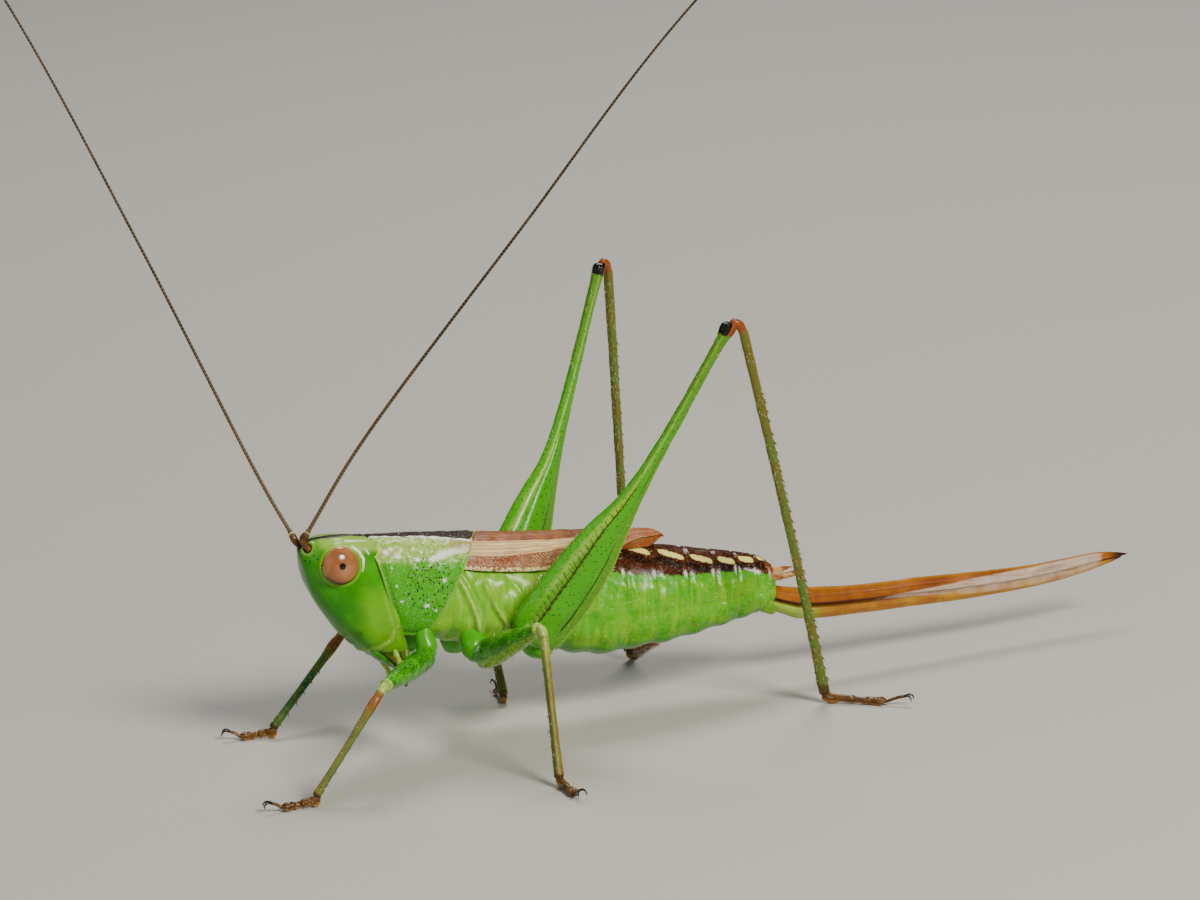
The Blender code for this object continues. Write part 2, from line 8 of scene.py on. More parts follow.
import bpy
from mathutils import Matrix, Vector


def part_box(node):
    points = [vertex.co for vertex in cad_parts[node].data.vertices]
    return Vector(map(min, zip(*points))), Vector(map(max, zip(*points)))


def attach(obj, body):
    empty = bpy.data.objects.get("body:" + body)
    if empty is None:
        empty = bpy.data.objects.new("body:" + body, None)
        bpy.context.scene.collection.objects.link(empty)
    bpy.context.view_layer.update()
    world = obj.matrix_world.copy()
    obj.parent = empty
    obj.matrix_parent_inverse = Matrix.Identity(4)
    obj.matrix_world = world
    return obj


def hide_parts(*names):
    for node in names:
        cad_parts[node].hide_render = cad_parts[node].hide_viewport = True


bl_info = {
    "name": "Meadow Katydid",
    "version": (1, 0, 0),
    "blender": (4, 5, 0),
    "location": "View3D > Sidebar > Katydid",
    "description": "Builds the skin, wings, feelers, spines and finishes of a life-size meadow katydid",
    "category": "Add Mesh",
}

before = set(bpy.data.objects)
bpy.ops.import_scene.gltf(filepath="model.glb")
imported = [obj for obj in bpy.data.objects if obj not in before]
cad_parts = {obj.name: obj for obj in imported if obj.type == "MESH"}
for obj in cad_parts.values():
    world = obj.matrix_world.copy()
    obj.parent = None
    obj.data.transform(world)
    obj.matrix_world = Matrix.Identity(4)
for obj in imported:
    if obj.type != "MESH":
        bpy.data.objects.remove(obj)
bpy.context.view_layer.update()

from math import cos, pi, radians, sin

import bmesh
import bpy
import numpy as np
from mathutils import Matrix, Vector

MM = 0.001
SIDES = ((-1, 'left'), (1, 'right'))

# Pose of the body
NOSE = np.array((-10.53, 0.14, 7.23))
PITCH = radians(7.8)            # nose up
LEAN = radians(6.0)             # back leans to the animal's right
BODY_TURN = np.array(Matrix.Rotation(-LEAN, 3, 'X') @ Matrix.Rotation(PITCH, 3, 'Y'))

# Collar and trunk, as rows of station, top, bottom, half width
COLLAR = ((1.9, 0.36, -2.95, 1.12), (3.0, 0.37, -3.12, 1.36), (4.2, 0.37, -3.10, 1.45),
          (5.8, 0.37, -2.95, 1.42))
TRUNK = ((2.3, -0.30, -2.50, 0.80), (3.6, -0.20, -2.98, 1.16), (5.5, -0.17, -3.20, 1.40),
         (7.8, -0.17, -3.45, 1.42), (10.0, -0.18, -3.80, 1.38), (11.2, -0.19, -3.68, 1.34),
         (12.6, -0.22, -3.46, 1.26), (14.0, -0.38, -3.14, 1.10), (15.0, -0.50, -2.85, 0.94),
         (15.9, -0.66, -2.58, 0.72), (16.5, -0.98, -2.30, 0.45))
HEAD_SEAM = (2.08, -0.33)       # station where the collar starts, and its change with height
WING_SEAM = (5.45, 0.50)        # station where the collar ends, and its change with height
RING_EDGES = (8.7, 9.8, 10.9, 11.98, 13.14, 14.16, 14.99, 15.72, 16.3)
TRUNK_TAPER = 0.16              # how much narrower the back is than the belly

# Lines on the collar and the chest, as station and height
COLLAR_GROOVE = ((3.10, 0.10), (3.18, -0.60), (3.45, -1.30), (3.30, -2.00))
COLLAR_GROOVE_REAR = ((4.25, 0.10), (4.16, -0.50), (4.02, -1.10), (3.80, -1.75))
# line of a painted white highlight streak up the shoulder toward the wing's root
PAINTED_SHOULDER_GLINT = ((4.05, -0.34), (4.35, -0.22), (4.75, -0.12), (5.25, -0.02))
CHEST_RIDGE = ((4.88, -0.74), (5.29, -1.50), (5.61, -2.27), (5.80, -2.85))
CHEST_RIDGE_REAR = ((5.90, -1.27), (6.31, -2.04), (6.72, -2.60), (6.85, -3.0))
CHEST_FOLD = ((6.65, -0.96), (7.05, -1.35), (7.25, -2.10))
CHEST_FOLD_REAR = ((7.7, -0.9), (8.0, -1.7), (8.1, -2.6))
CHEST_HEM = ((4.7, -3.15), (5.3, -2.95), (5.9, -3.10), (6.6, -2.90), (7.4, -3.1))

# Painted white glints on slight wet-looking swellings on each side of the collar, as station, height and
# size
PAINTED_GLINT_SPOTS = ((2.55, -0.10, 0.11), (2.74, 0.00, 0.08), (2.92, -0.22, 0.12), (3.06, -0.04, 0.07),
             (3.58, -0.34, 0.11), (3.72, -0.12, 0.06), (4.45, -1.02, 0.08), (3.89, -1.84, 0.09),
             (4.22, -2.02, 0.06), (2.86, -1.18, 0.05), (3.05, -1.70, 0.05), (2.70, -0.60, 0.05))

# Markings, as stations and then a value at each: half widths of the dark stripe, and heights on
# the belly of the brown back's edge and of the middles of the cream and dark patches
CROWN_STRIPE = ((-0.1, 0.35, 1.2, 2.4), (0.12, 0.21, 0.31, 0.38))
COLLAR_STRIPE = ((2.0, 3.0, 4.4, 5.6), (0.36, 0.44, 0.62, 0.84))
BACK_EDGE = ((9, 11, 12.5, 14.2, 15.2, 16.3), (-0.72, -1.04, -1.14, -1.12, -1.05, -1.3))
CREAM_PATCHES = ((10.5, 11.46, 12.65, 13.6, 14.5, 15.4), (-0.18, -0.28, -0.475, -0.63, -0.735, -0.73))
DARK_PATCHES = ((10.5, 11.4, 12.5, 13.6, 14.5, 15.3), (-0.42, -0.55, -0.70, -0.94, -0.97, -0.98))

# Head, as rows of height, front of the face, half width, roundness of the front
HEAD = ((0.405, 2.15, 0.03, 2.0), (0.38, 1.35, 0.30, 2.0), (0.33, 0.62, 0.62, 1.7),
        (0.22, 0.10, 0.86, 1.5), (0.05, -0.12, 0.98, 1.35), (-0.28, -0.10, 1.06, 1.4),
        (-0.56, -0.03, 1.10, 1.5), (-1.12, 0.15, 1.14, 1.8), (-1.80, 0.51, 1.18, 2.1),
        (-2.66, 1.19, 1.17, 2.2), (-3.17, 1.71, 1.06, 2.2), (-3.42, 2.04, 0.92, 2.2))
EYE_CENTRE = np.array((1.03, 1.02, -0.49))
EYE_RADII = np.array((0.60, 0.40, 0.62))
# A pale streak behind the eye that carries a painted highlight, then a short painted highlight after it,
# as station and height
PAINTED_GLEAM_LINE = ((1.44, 0.12), (1.66, -0.06), (1.79, -0.28), (1.79, -0.52), (1.74, -0.70))   # behind the eye
PAINTED_GLEAM_SPARK = ((1.90, 0.02), (1.99, -0.14))
CHEEK_EDGE = ((2.20, -0.94), (2.58, -1.36), (2.74, -1.90), (2.90, -2.44))
MOUTH_EDGE = ((2.84, -2.70), (2.76, -3.02), (2.36, -3.28), (1.90, -3.40))
FACE_HEIGHTS = (-3.4, -2.4, -1.0, -0.3)         # and the half widths there of the face's edge
FACE_EDGE = (0.66, 0.74, 0.52, 0.30)            # in relief
# FACE_SHADE: half widths of the painted shade that deepens the green toward the face's front
FACE_SHADE = (0.95, 0.9, 0.68, 0.5)             # in colour
LIP = ((-3.30, 1.96, 0.84, 0.60), (-3.62, 2.36, 0.70, 0.52), (-3.88, 2.76, 0.50, 0.42),
       (-4.04, 3.06, 0.26, 0.30))
LIP_ROUNDING = 0.18             # height over which its lower edge rounds off
JAW = ((-3.36, 2.40, 3.20, 0.80), (-3.72, 2.86, 3.26, 0.62), (-3.96, 3.22, 3.44, 0.36))
PALPS = {                       # joints of the two pairs of mouth feelers, on the right side
    'upper': ((2.90, 1.02, -3.30), (2.98, 1.16, -3.56), (3.12, 1.06, -3.86), (3.30, 0.86, -4.20),
              (3.44, 0.66, -4.58)),
    'lower': ((3.56, 0.26, -3.40), (3.62, 0.28, -3.76), (3.72, 0.28, -4.06), (3.96, 0.30, -4.32))}

# Wings
WING_START = 5.0
WING_NARROWS = 11.95            # station where its outline starts to close
WING_THINS = 11.9               # station where it starts to sink to the back
WING_TIP = 12.54
WING_EDGE = ((5.0, 56), (6.5, 59.5), (8.0, 58), (9.3, 50), (10.2, 38), (11.0, 29), (11.7, 23),
             (12.54, 17))       # turn of its lower edge
VEINS = (0.08, 0.16, 0.25, 0.33, 0.40, 0.93)    # shares from back to edge
VEIN_FAN = (0.0, 0.24, 0.46, 0.72, 1.0)         # shares of the pale band between them
BAND_START = 0.47               # share where the pale band starts
BAND_END = ((5.2, 6.6, 8.2, 9.6, 11.5), (0.74, 0.73, 0.67, 0.61, 0.58))     # stations and shares

# Egg layer, as rows of station, top, bottom
EGG_LAYER = ((16.0, -1.50, -2.40), (16.75, -1.72, -2.62), (17.6, -1.80, -2.86), (19.8, -1.76, -2.74),
             (21.9, -1.58, -2.54), (23.4, -1.49, -2.41), (25.7, -1.32, -2.10), (27.1, -1.12, -1.84),
             (28.5, -0.92, -1.47), (29.66, -0.96, -1.06))
EGG_LAYER_SPLIT = 0.56          # where its two halves meet, from top to bottom
EGG_LAYER_HALF_WIDTH = ((16.0, 17.5, 20, 25, 28, 29.66), (0.30, 0.27, 0.20, 0.15, 0.11, 0.06))

# What stands round its root, on the right side: plates as the egg layer's rows with a half width
PLATE_BELOW = ((15.9, -1.75, -2.50, 0.50), (16.2, -1.90, -2.60, 0.46), (16.5, -2.06, -2.70, 0.38),
               (16.7, -2.20, -2.72, 0.26))
PLATE_ABOVE = ((15.9, -0.96, -1.60, 0.40), (16.4, -1.12, -1.60, 0.30), (16.7, -1.30, -1.58, 0.20),
               (16.9, -1.46, -1.60, 0.08))
TAIL_FEELER = ((16.1, 0.30, -1.34), (16.45, 0.42, -1.36), (16.85, 0.54, -1.30), (17.2, 0.56, -1.22),
               (17.5, 0.52, -1.16))

# Legs: hips and their roots in body axes on the right side, knees and ankles in the pose
HIPS = {'front': np.array((4.05, 1.05, -3.55)), 'middle': np.array((5.74, 1.32, -3.60)),
        'hind': np.array((7.84, 1.88, -3.40))}
HIP_ROOTS = {'front': np.array((4.00, 0.62, -2.70)), 'middle': np.array((5.50, 0.70, -2.85)),
             'hind': np.array((7.45, 0.85, -2.95))}
HIP_RADII = {'front': (0.36, 0.30), 'middle': (0.46, 0.36), 'hind': (0.54, 0.34)}   # root and end
KNEES = {'front_left': (-9.59, -4.30, 3.34), 'front_right': (-7.90, 4.60, 2.84),
         'middle_left': (-4.50, -5.50, 4.64), 'middle_right': (-2.90, 5.20, 4.00),
         'hind_left': (3.15, -5.00, 13.50), 'hind_right': (2.47, 5.00, 13.82)}
ANKLES = {'front_left': (-12.17, -4.68, 0.45), 'front_right': (-10.96, 3.48, 0.45),
          'middle_left': (-4.92, -7.30, 0.45), 'middle_right': (-3.18, 2.61, 0.45),
          'hind_left': (5.86, -3.68, 0.45), 'hind_right': (2.30, 4.97, 0.45)}
FOOT_HEADINGS = {'front_left': (-0.99, 0.14), 'front_right': (-0.92, 0.39),
                 'middle_left': (0.03, -1.00), 'middle_right': (0.20, 0.98),
                 'hind_left': (0.74, -0.67), 'hind_right': (0.73, 0.68)}
FOOT_LENGTHS = {'front': 1.60, 'middle': 1.75, 'hind': 2.90}

# Thighs, as rows of share of the length, half depth, half thickness, shift toward the back edge
THIGHS = {
    'front': ((0.0, 0.30, 0.27, 0.0), (0.12, 0.44, 0.36, 0.0), (0.45, 0.43, 0.36, 0.0),
              (0.80, 0.30, 0.26, 0.0), (0.93, 0.23, 0.22, 0.0), (1.0, 0.26, 0.24, 0.0)),
    'middle': ((0.0, 0.32, 0.28, 0.0), (0.14, 0.48, 0.38, 0.0), (0.45, 0.44, 0.36, 0.0),
               (0.80, 0.28, 0.24, 0.0), (0.93, 0.22, 0.21, 0.0), (1.0, 0.26, 0.24, 0.0)),
    'hind': ((0.0, 0.70, 0.28, 0.52), (0.05, 1.00, 0.40, 0.60), (0.13, 1.07, 0.47, 0.49),
             (0.25, 0.97, 0.45, 0.31), (0.36, 0.71, 0.35, 0.20), (0.47, 0.38, 0.25, 0.05),
             (0.62, 0.22, 0.19, 0.0), (0.88, 0.175, 0.165, 0.0), (0.95, 0.20, 0.18, 0.0),
             (0.98, 0.27, 0.21, 0.0), (1.0, 0.25, 0.21, 0.0))}
BLADE_TURNS = {'hind_left': radians(12), 'hind_right': radians(-32)}    # at the hip, none at the knee
SHINS = {                       # share of the length, half depth, half thickness, shift
    'front': ((0.0, 0.17, 0.15, 0.0), (0.10, 0.16, 0.14, 0.0), (0.20, 0.19, 0.16, 0.0),
              (0.32, 0.145, 0.13, 0.0), (0.8, 0.125, 0.12, 0.0), (1.0, 0.16, 0.15, 0.0)),
    'middle': ((0.0, 0.17, 0.15, 0.0), (0.08, 0.16, 0.14, 0.0), (0.5, 0.135, 0.12, 0.0),
               (1.0, 0.16, 0.15, 0.0)),
    'hind': ((0.0, 0.15, 0.15, 0.0), (0.05, 0.155, 0.15, 0.02), (0.3, 0.15, 0.13, 0.05),
             (0.7, 0.145, 0.13, 0.06), (1.0, 0.18, 0.17, 0.0))}

# Foot joints, as share of the length at start and end, height of the middle there, half height,
# half width at the start and at the end
FOOT_JOINTS = ((-0.03, 0.38, 0.27, 0.16, 0.135, 0.13, 0.13), (0.36, 0.52, 0.17, 0.15, 0.105, 0.10, 0.14),
               (0.50, 0.70, 0.16, 0.15, 0.125, 0.11, 0.23), (0.58, 1.00, 0.20, 0.35, 0.052, 0.060, 0.070))
FOOT_PADS = ((0.30, 0.16, 0.15), (0.75, 0.20, 0.07), (0.66, 0.30, 0.08))   # place, width and depth
CLAW = ((-0.05, 0.03, -0.02), (0.07, 0.08, 0.03), (0.17, 0.12, 0.0), (0.22, 0.14, -0.09),
        (0.20, 0.145, -0.17))   # ahead of the foot's end, out to the side, and up

# Spines along a shin: first share, last share, step, angle round the shin, size and lean
SPINE_ROWS = {
    'hind': ((0.20, 0.97, 0.36, radians(28), 1.0, 0.62), (0.22, 0.97, 0.40, radians(332), 1.0, 0.62),
             (0.35, 0.97, 0.62, radians(160), 0.65, 0.65), (0.37, 0.97, 0.66, radians(200), 0.65, 0.65),
             (0.965, 0.985, 0.3, radians(150), 1.2, 0.85), (0.965, 0.985, 0.3, radians(210), 1.2, 0.85)),
    'middle': ((0.18, 0.97, 0.50, radians(155), 1.0, 0.50), (0.20, 0.97, 0.50, radians(205), 1.0, 0.50)),
    'front': ((0.40, 0.98, 0.46, radians(152), 1.2, 0.50), (0.42, 0.98, 0.46, radians(208), 1.2, 0.50))}
HAIR_LEAN = 1.1                 # how far hairs lean along their limb; 0 stands them up

# Feelers, about 45 long: sockets and roots in body axes, and routes in the pose
FEELER_SOCKET = np.array((0.17, 0.40, -0.04))
FEELER_ROOTS = {'left': np.array((-0.02, -0.36, 0.34)), 'right': np.array((-0.10, 0.34, 0.22))}
FEELER_ROUTES = {
    'left': ((-8.24, -1.26, 11.14), (-3.48, -3.83, 17.49), (1.90, -6.83, 24.58),
             (9.20, -10.6, 31.80), (17.5, -14.6, 37.60)),
    'right': ((-11.52, 1.67, 9.99), (-13.84, 4.45, 17.27), (-16.60, 7.53, 25.13),
              (-20.6, 10.7, 33.60), (-25.8, 13.6, 41.00))}
STEPS_A_RING = 4.0              # of the mesh along a feeler

# Camera, in the pose
CAMERA_TURN = radians(-20)
CAMERA_RISE = radians(14)
CAMERA_ROLL = radians(4.5)
CAMERA_DISTANCE = 200.0
CAMERA_AIM = np.array((0.0, 0.0, 8.85))
VIEW_WIDTH = 39.6               # width of the view at the aim
SENSOR_WIDTH = 36

# Studio: soft lights in the pose, as place, width, watts and colour
LIGHTS = (('key_light', (45.0, -170.0, 135.0), 70, 0.62, '#FFFAF0'),
          ('fill_light', (-190.0, -60.0, 120.0), 230, 0.11, '#F2F6FF'),
          ('back_light', (60.0, 120.0, 190.0), 90, 0.30, '#FFFFFF'))
LIGHT_AIM = (0.0, 0.0, 5.0)
SKY_TONE = '#EEF1F2'
SKY_STRENGTH = 0.09
FLOOR_HALF_WIDTH = 1.5          # metres


def linear(code):
    """Turn an sRGB hex value into linear red, green and blue."""
    channels = [int(code[i:i + 2], 16) / 255 for i in (1, 3, 5)]
    return [c / 12.92 if c <= 0.04045 else ((c + 0.055) / 1.055) ** 2.4 for c in channels]


def tipped(points):
    """Turn points in body axes into the pose."""
    return np.asarray(points, float) @ BODY_TURN.T + NOSE


def frame_shift():
    """Where the pose's zero lies in the frame, measured from the two eyes."""
    offsets = []
    for side, name in SIDES:
        low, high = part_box('eye_' + name)
        offsets.append(np.array((low + high) / 2) / MM - tipped(EYE_CENTRE * (1, side, 1)))
    return np.mean(offsets, axis=0)


SHIFT = frame_shift()


def placed(points):
    """Turn points in the pose into metres in the frame."""
    return (np.asarray(points, float) + SHIFT) * MM


def along(rows, x):
    """Read a table of rows at x, on a smooth curve through them, one array for each column."""
    table = np.array(rows, float)
    if table[0, 0] > table[-1, 0]:
        table = table[::-1]
    knots, values = table[:, 0], table[:, 1:]
    last = len(knots) - 1
    before, after = np.maximum(np.arange(last + 1) - 1, 0), np.minimum(np.arange(last + 1) + 1, last)
    slopes = (values[after] - values[before]) / (knots[after] - knots[before])[:, None]
    x = np.asarray(x, float)
    i = np.clip(np.searchsorted(knots, x, side='right') - 1, 0, last - 1)
    span = knots[i + 1] - knots[i]
    t = np.clip((x - knots[i]) / span, 0, 1)[..., None]
    span = span[..., None]
    out = (values[i] * (2 * t ** 3 - 3 * t ** 2 + 1) + slopes[i] * span * (t ** 3 - 2 * t ** 2 + t)
           + values[i + 1] * (3 * t ** 2 - 2 * t ** 3) + slopes[i + 1] * span * (t ** 3 - t ** 2))
    return [out[..., k] for k in range(out.shape[-1])]


def power(value, exponent):
    """A signed power, which squares or sharpens a round outline."""
    return np.sign(value) * np.abs(value) ** exponent


def ease(value, low, high):
    """Rise smoothly from 0 at low to 1 at high."""
    t = np.clip((value - low) / (high - low), 0, 1)
    return t * t * (3 - 2 * t)


def hump(value, middle, width):
    """A bell of height 1 round middle."""
    return np.exp(-((value - middle) / width) ** 2)


def round_off(value, start, end, least=0.0):
    """1 before start, then down to least at end, as a quarter circle falls."""
    return np.sqrt(np.clip(1 - np.clip((value - start) / (end - start), 0, 1) ** 2, least, 1))


def blunt(share, order, least=0.01):
    """1 over most of a length, then down to least at its end; a higher order ends it blunter."""
    return np.sqrt(np.clip(1 - share ** order, least, 1))


def turns(count):
    """Angles of count points round a section."""
    return np.arange(count) * 2 * pi / count


def points_at(x, y, z):
    """A grid of points from their three coordinates."""
    return np.stack(np.broadcast_arrays(x, y, z), -1)


def near_line(x, z, points):
    """Distance from each place to a line through points."""
    best = np.full(np.shape(x), 1e9)
    for (ax, az), (bx, bz) in zip(points, points[1:]):
        dx, dz = bx - ax, bz - az
        t = np.clip(((x - ax) * dx + (z - az) * dz) / (dx * dx + dz * dz), 0, 1)
        best = np.minimum(best, np.hypot(x - ax - t * dx, z - az - t * dz))
    return best


def ripple(points, size, seed):
    """Smooth pseudo-random waves over a surface, about -1 to 1, each about size across."""
    draw = np.random.default_rng(seed)
    total = 0
    for _ in range(10):
        wave = draw.normal(size=3)
        wave *= draw.uniform(0.7, 1.5) * pi / size / np.linalg.norm(wave)
        total = total + np.sin(points @ wave + draw.uniform(0, 2 * pi))
    return total / 3.2


def normals(grid, around=True):
    """Unit normals of a grid, pointing away from the middle of its rows."""
    down = np.gradient(grid, axis=0)
    if around:
        across = np.roll(grid, -1, 1) - np.roll(grid, 1, 1)
    else:
        across = np.gradient(grid, axis=1)
    found = np.cross(down, across)
    found /= np.maximum(np.linalg.norm(found, axis=2, keepdims=True), 1e-12)
    away = grid - grid.mean(axis=1, keepdims=True)
    return found if (found * away).sum() > 0 else -found


def push(grid, amount, around=True):
    """Move a surface out along its normals."""
    return grid + normals(grid, around) * np.asarray(amount)[..., None]


def relax(grid, times):
    """Smooth a closed grid, leaving its first and last rows."""
    for _ in range(times):
        side = (np.roll(grid, 1, 1) + np.roll(grid, -1, 1)) / 2
        ends = grid.copy()
        ends[1:-1] = (grid[:-2] + grid[2:]) / 2
        grid = np.concatenate((grid[:1], (grid * 2 + side + ends)[1:-1] / 4, grid[-1:]))
    return grid


def spaced(grid, columns):
    """Space the points of each closed row evenly round it."""
    closed = np.concatenate((grid, grid[:, :1]), axis=1)
    rows = []
    for row in closed:
        run = np.concatenate(([0], np.cumsum(np.linalg.norm(np.diff(row, axis=0), axis=1))))
        stops = np.arange(columns) / columns * run[-1]
        rows.append(np.stack([np.interp(stops, run, row[:, k]) for k in range(3)], -1))
    return np.array(rows)


def skin(name, grid, finish, marks=None, strip=False):
    """Make a closed mesh from a grid of points in the pose, with its masks and its UV map.

    strip closes the ends of a folded plate with a strip and not with a fan.
    """
    grid = placed(grid)
    rows, cols = grid.shape[:2]
    points = grid.reshape(-1, 3)
    i, j = np.mgrid[:rows - 1, :cols]
    k = (j + 1) % cols
    quads = np.stack((i * cols + j, i * cols + k, (i + 1) * cols + k, (i + 1) * cols + j), -1)
    u, v = i / (rows - 1), j / cols
    step_u, step_v = 1 / (rows - 1), 1 / cols
    maps = np.stack((np.stack((u, v), -1), np.stack((u, v + step_v), -1),
                     np.stack((u + step_u, v + step_v), -1), np.stack((u + step_u, v), -1)), -2)
    quads, maps = quads.reshape(-1, 4), maps.reshape(-1, 4, 2)
    faces, corners = [quads], [maps]
    for row, edge in ((0, 0.0), (rows - 1, 1.0)):
        near = np.arange(cols // 2 - 1 if strip else cols)
        if strip:
            cap = np.stack((near, cols - 1 - near, cols - 2 - near, near + 1), -1) + row * cols
        else:
            hub = np.full(cols, len(points))
            cap = np.stack((row * cols + near, hub, row * cols + (near + 1) % cols), -1)
            points = np.vstack((points, grid[row].mean(0)))
        if row:
            cap = cap[:, ::-1]
        spot = np.stack((np.full(cap.shape, edge), np.repeat(near[:, None] / cols, cap.shape[1], 1)), -1)
        faces.append(cap)
        corners.append(spot)
    mesh_faces = [face for group in faces for face in group.tolist()]
    uv = np.concatenate([c.reshape(-1, 2) for c in corners])
    a, b, c = points[quads[:, 0]], points[quads[:, 1]], points[quads[:, 2]]
    centre = points.mean(0)
    if np.einsum('ij,ij->', a - centre, np.cross(b - centre, c - centre)) < 0:
        mesh_faces = [face[::-1] for face in mesh_faces]
        uv = np.concatenate([c[:, ::-1].reshape(-1, 2) for c in corners])
    mesh = bpy.data.meshes.new(name)
    mesh.from_pydata(points.tolist(), [], mesh_faces)
    mesh.uv_layers.new(name='UVMap').data.foreach_set('uv', uv.ravel())
    for key, mask in (marks or {}).items():
        mask = np.broadcast_to(mask, (rows, cols) + np.shape(mask)[2:]).astype(float)
        flat = mask.reshape(rows * cols, -1)
        if not strip:
            first, last = (mask[row].reshape(cols, -1).mean(0) for row in (0, -1))
            flat = np.vstack((flat, first, last))
        vector = flat.shape[1] == 3
        store = mesh.attributes.new(key, 'FLOAT_VECTOR' if vector else 'FLOAT', 'POINT')
        store.data.foreach_set('vector' if vector else 'value', flat.ravel())
    mesh.validate()
    mesh.shade_smooth()
    return show(name, mesh, finish)


def show(name, mesh, finish):
    """Put a finished mesh in the scene."""
    mesh.materials.clear()
    mesh.materials.append(finish)
    piece = bpy.data.objects.new(name, mesh)
    bpy.context.scene.collection.objects.link(piece)
    return piece


def folded(grid, thickness):
    """Give an open sheet its wall, and return it as rows that run out over it and back under it."""
    wall = thickness * np.sqrt(np.clip(edge_distance(grid) * 8, 0.12, 1))
    inner = grid - normals(grid, around=False) * wall[..., None]
    return np.concatenate((grid, inner[:, ::-1]), axis=1)


def edge_distance(grid):
    """How far each point of an open sheet is from its edge, as a share of its size."""
    rows, cols = grid.shape[:2]
    u = np.linspace(0, 1, rows)[:, None]
    v = np.linspace(0, 1, cols)[None, :]
    return np.minimum(np.minimum(u, 1 - u), np.minimum(v, 1 - v))


def both_sides(mask):
    """The masks of a folded sheet's two faces."""
    return np.concatenate((mask, mask[:, ::-1]), axis=1)


def sweep(path, radii, columns):
    """Round sections along a path of points, with a radius for each."""
    path, radii = np.asarray(path, float), np.asarray(radii, float)
    heading = np.gradient(path, axis=0)
    heading /= np.linalg.norm(heading, axis=1, keepdims=True)
    side = np.cross(heading[0], (0, 0, 1))
    angle = turns(columns)[:, None]
    rows = []
    for point, ahead, radius in zip(path, heading, radii):
        side = side - ahead * (side @ ahead)
        side = side / np.linalg.norm(side)
        up = np.cross(ahead, side)
        rows.append(point + radius * (np.cos(angle) * side + np.sin(angle) * up))
    return np.array(rows)


def route(points, count):
    """A smooth path through points, with count steps."""
    rows = [(k, *point) for k, point in enumerate(points)]
    return np.stack(along(rows, np.linspace(0, len(points) - 1, count + 1)), -1)


def dress(piece, slot, *nodes):
    """Hang a piece on the root body, and hide the solids that it stands for; slot is not used."""
    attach(piece, "root")
    if nodes:
        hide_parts(*nodes)
    return piece


def node(tree, kind, wires=None, out=0, **settings):
    """Add a node with its settings and wires, and return the output that others read."""
    made = tree.nodes.new(kind)
    for key, value in settings.items():
        setattr(made, key, value)
    for key, value in (wires or {}).items():
        if isinstance(value, bpy.types.NodeSocket):
            tree.links.new(value, made.inputs[key])
        else:
            made.inputs[key].default_value = value
    return made.outputs[out]


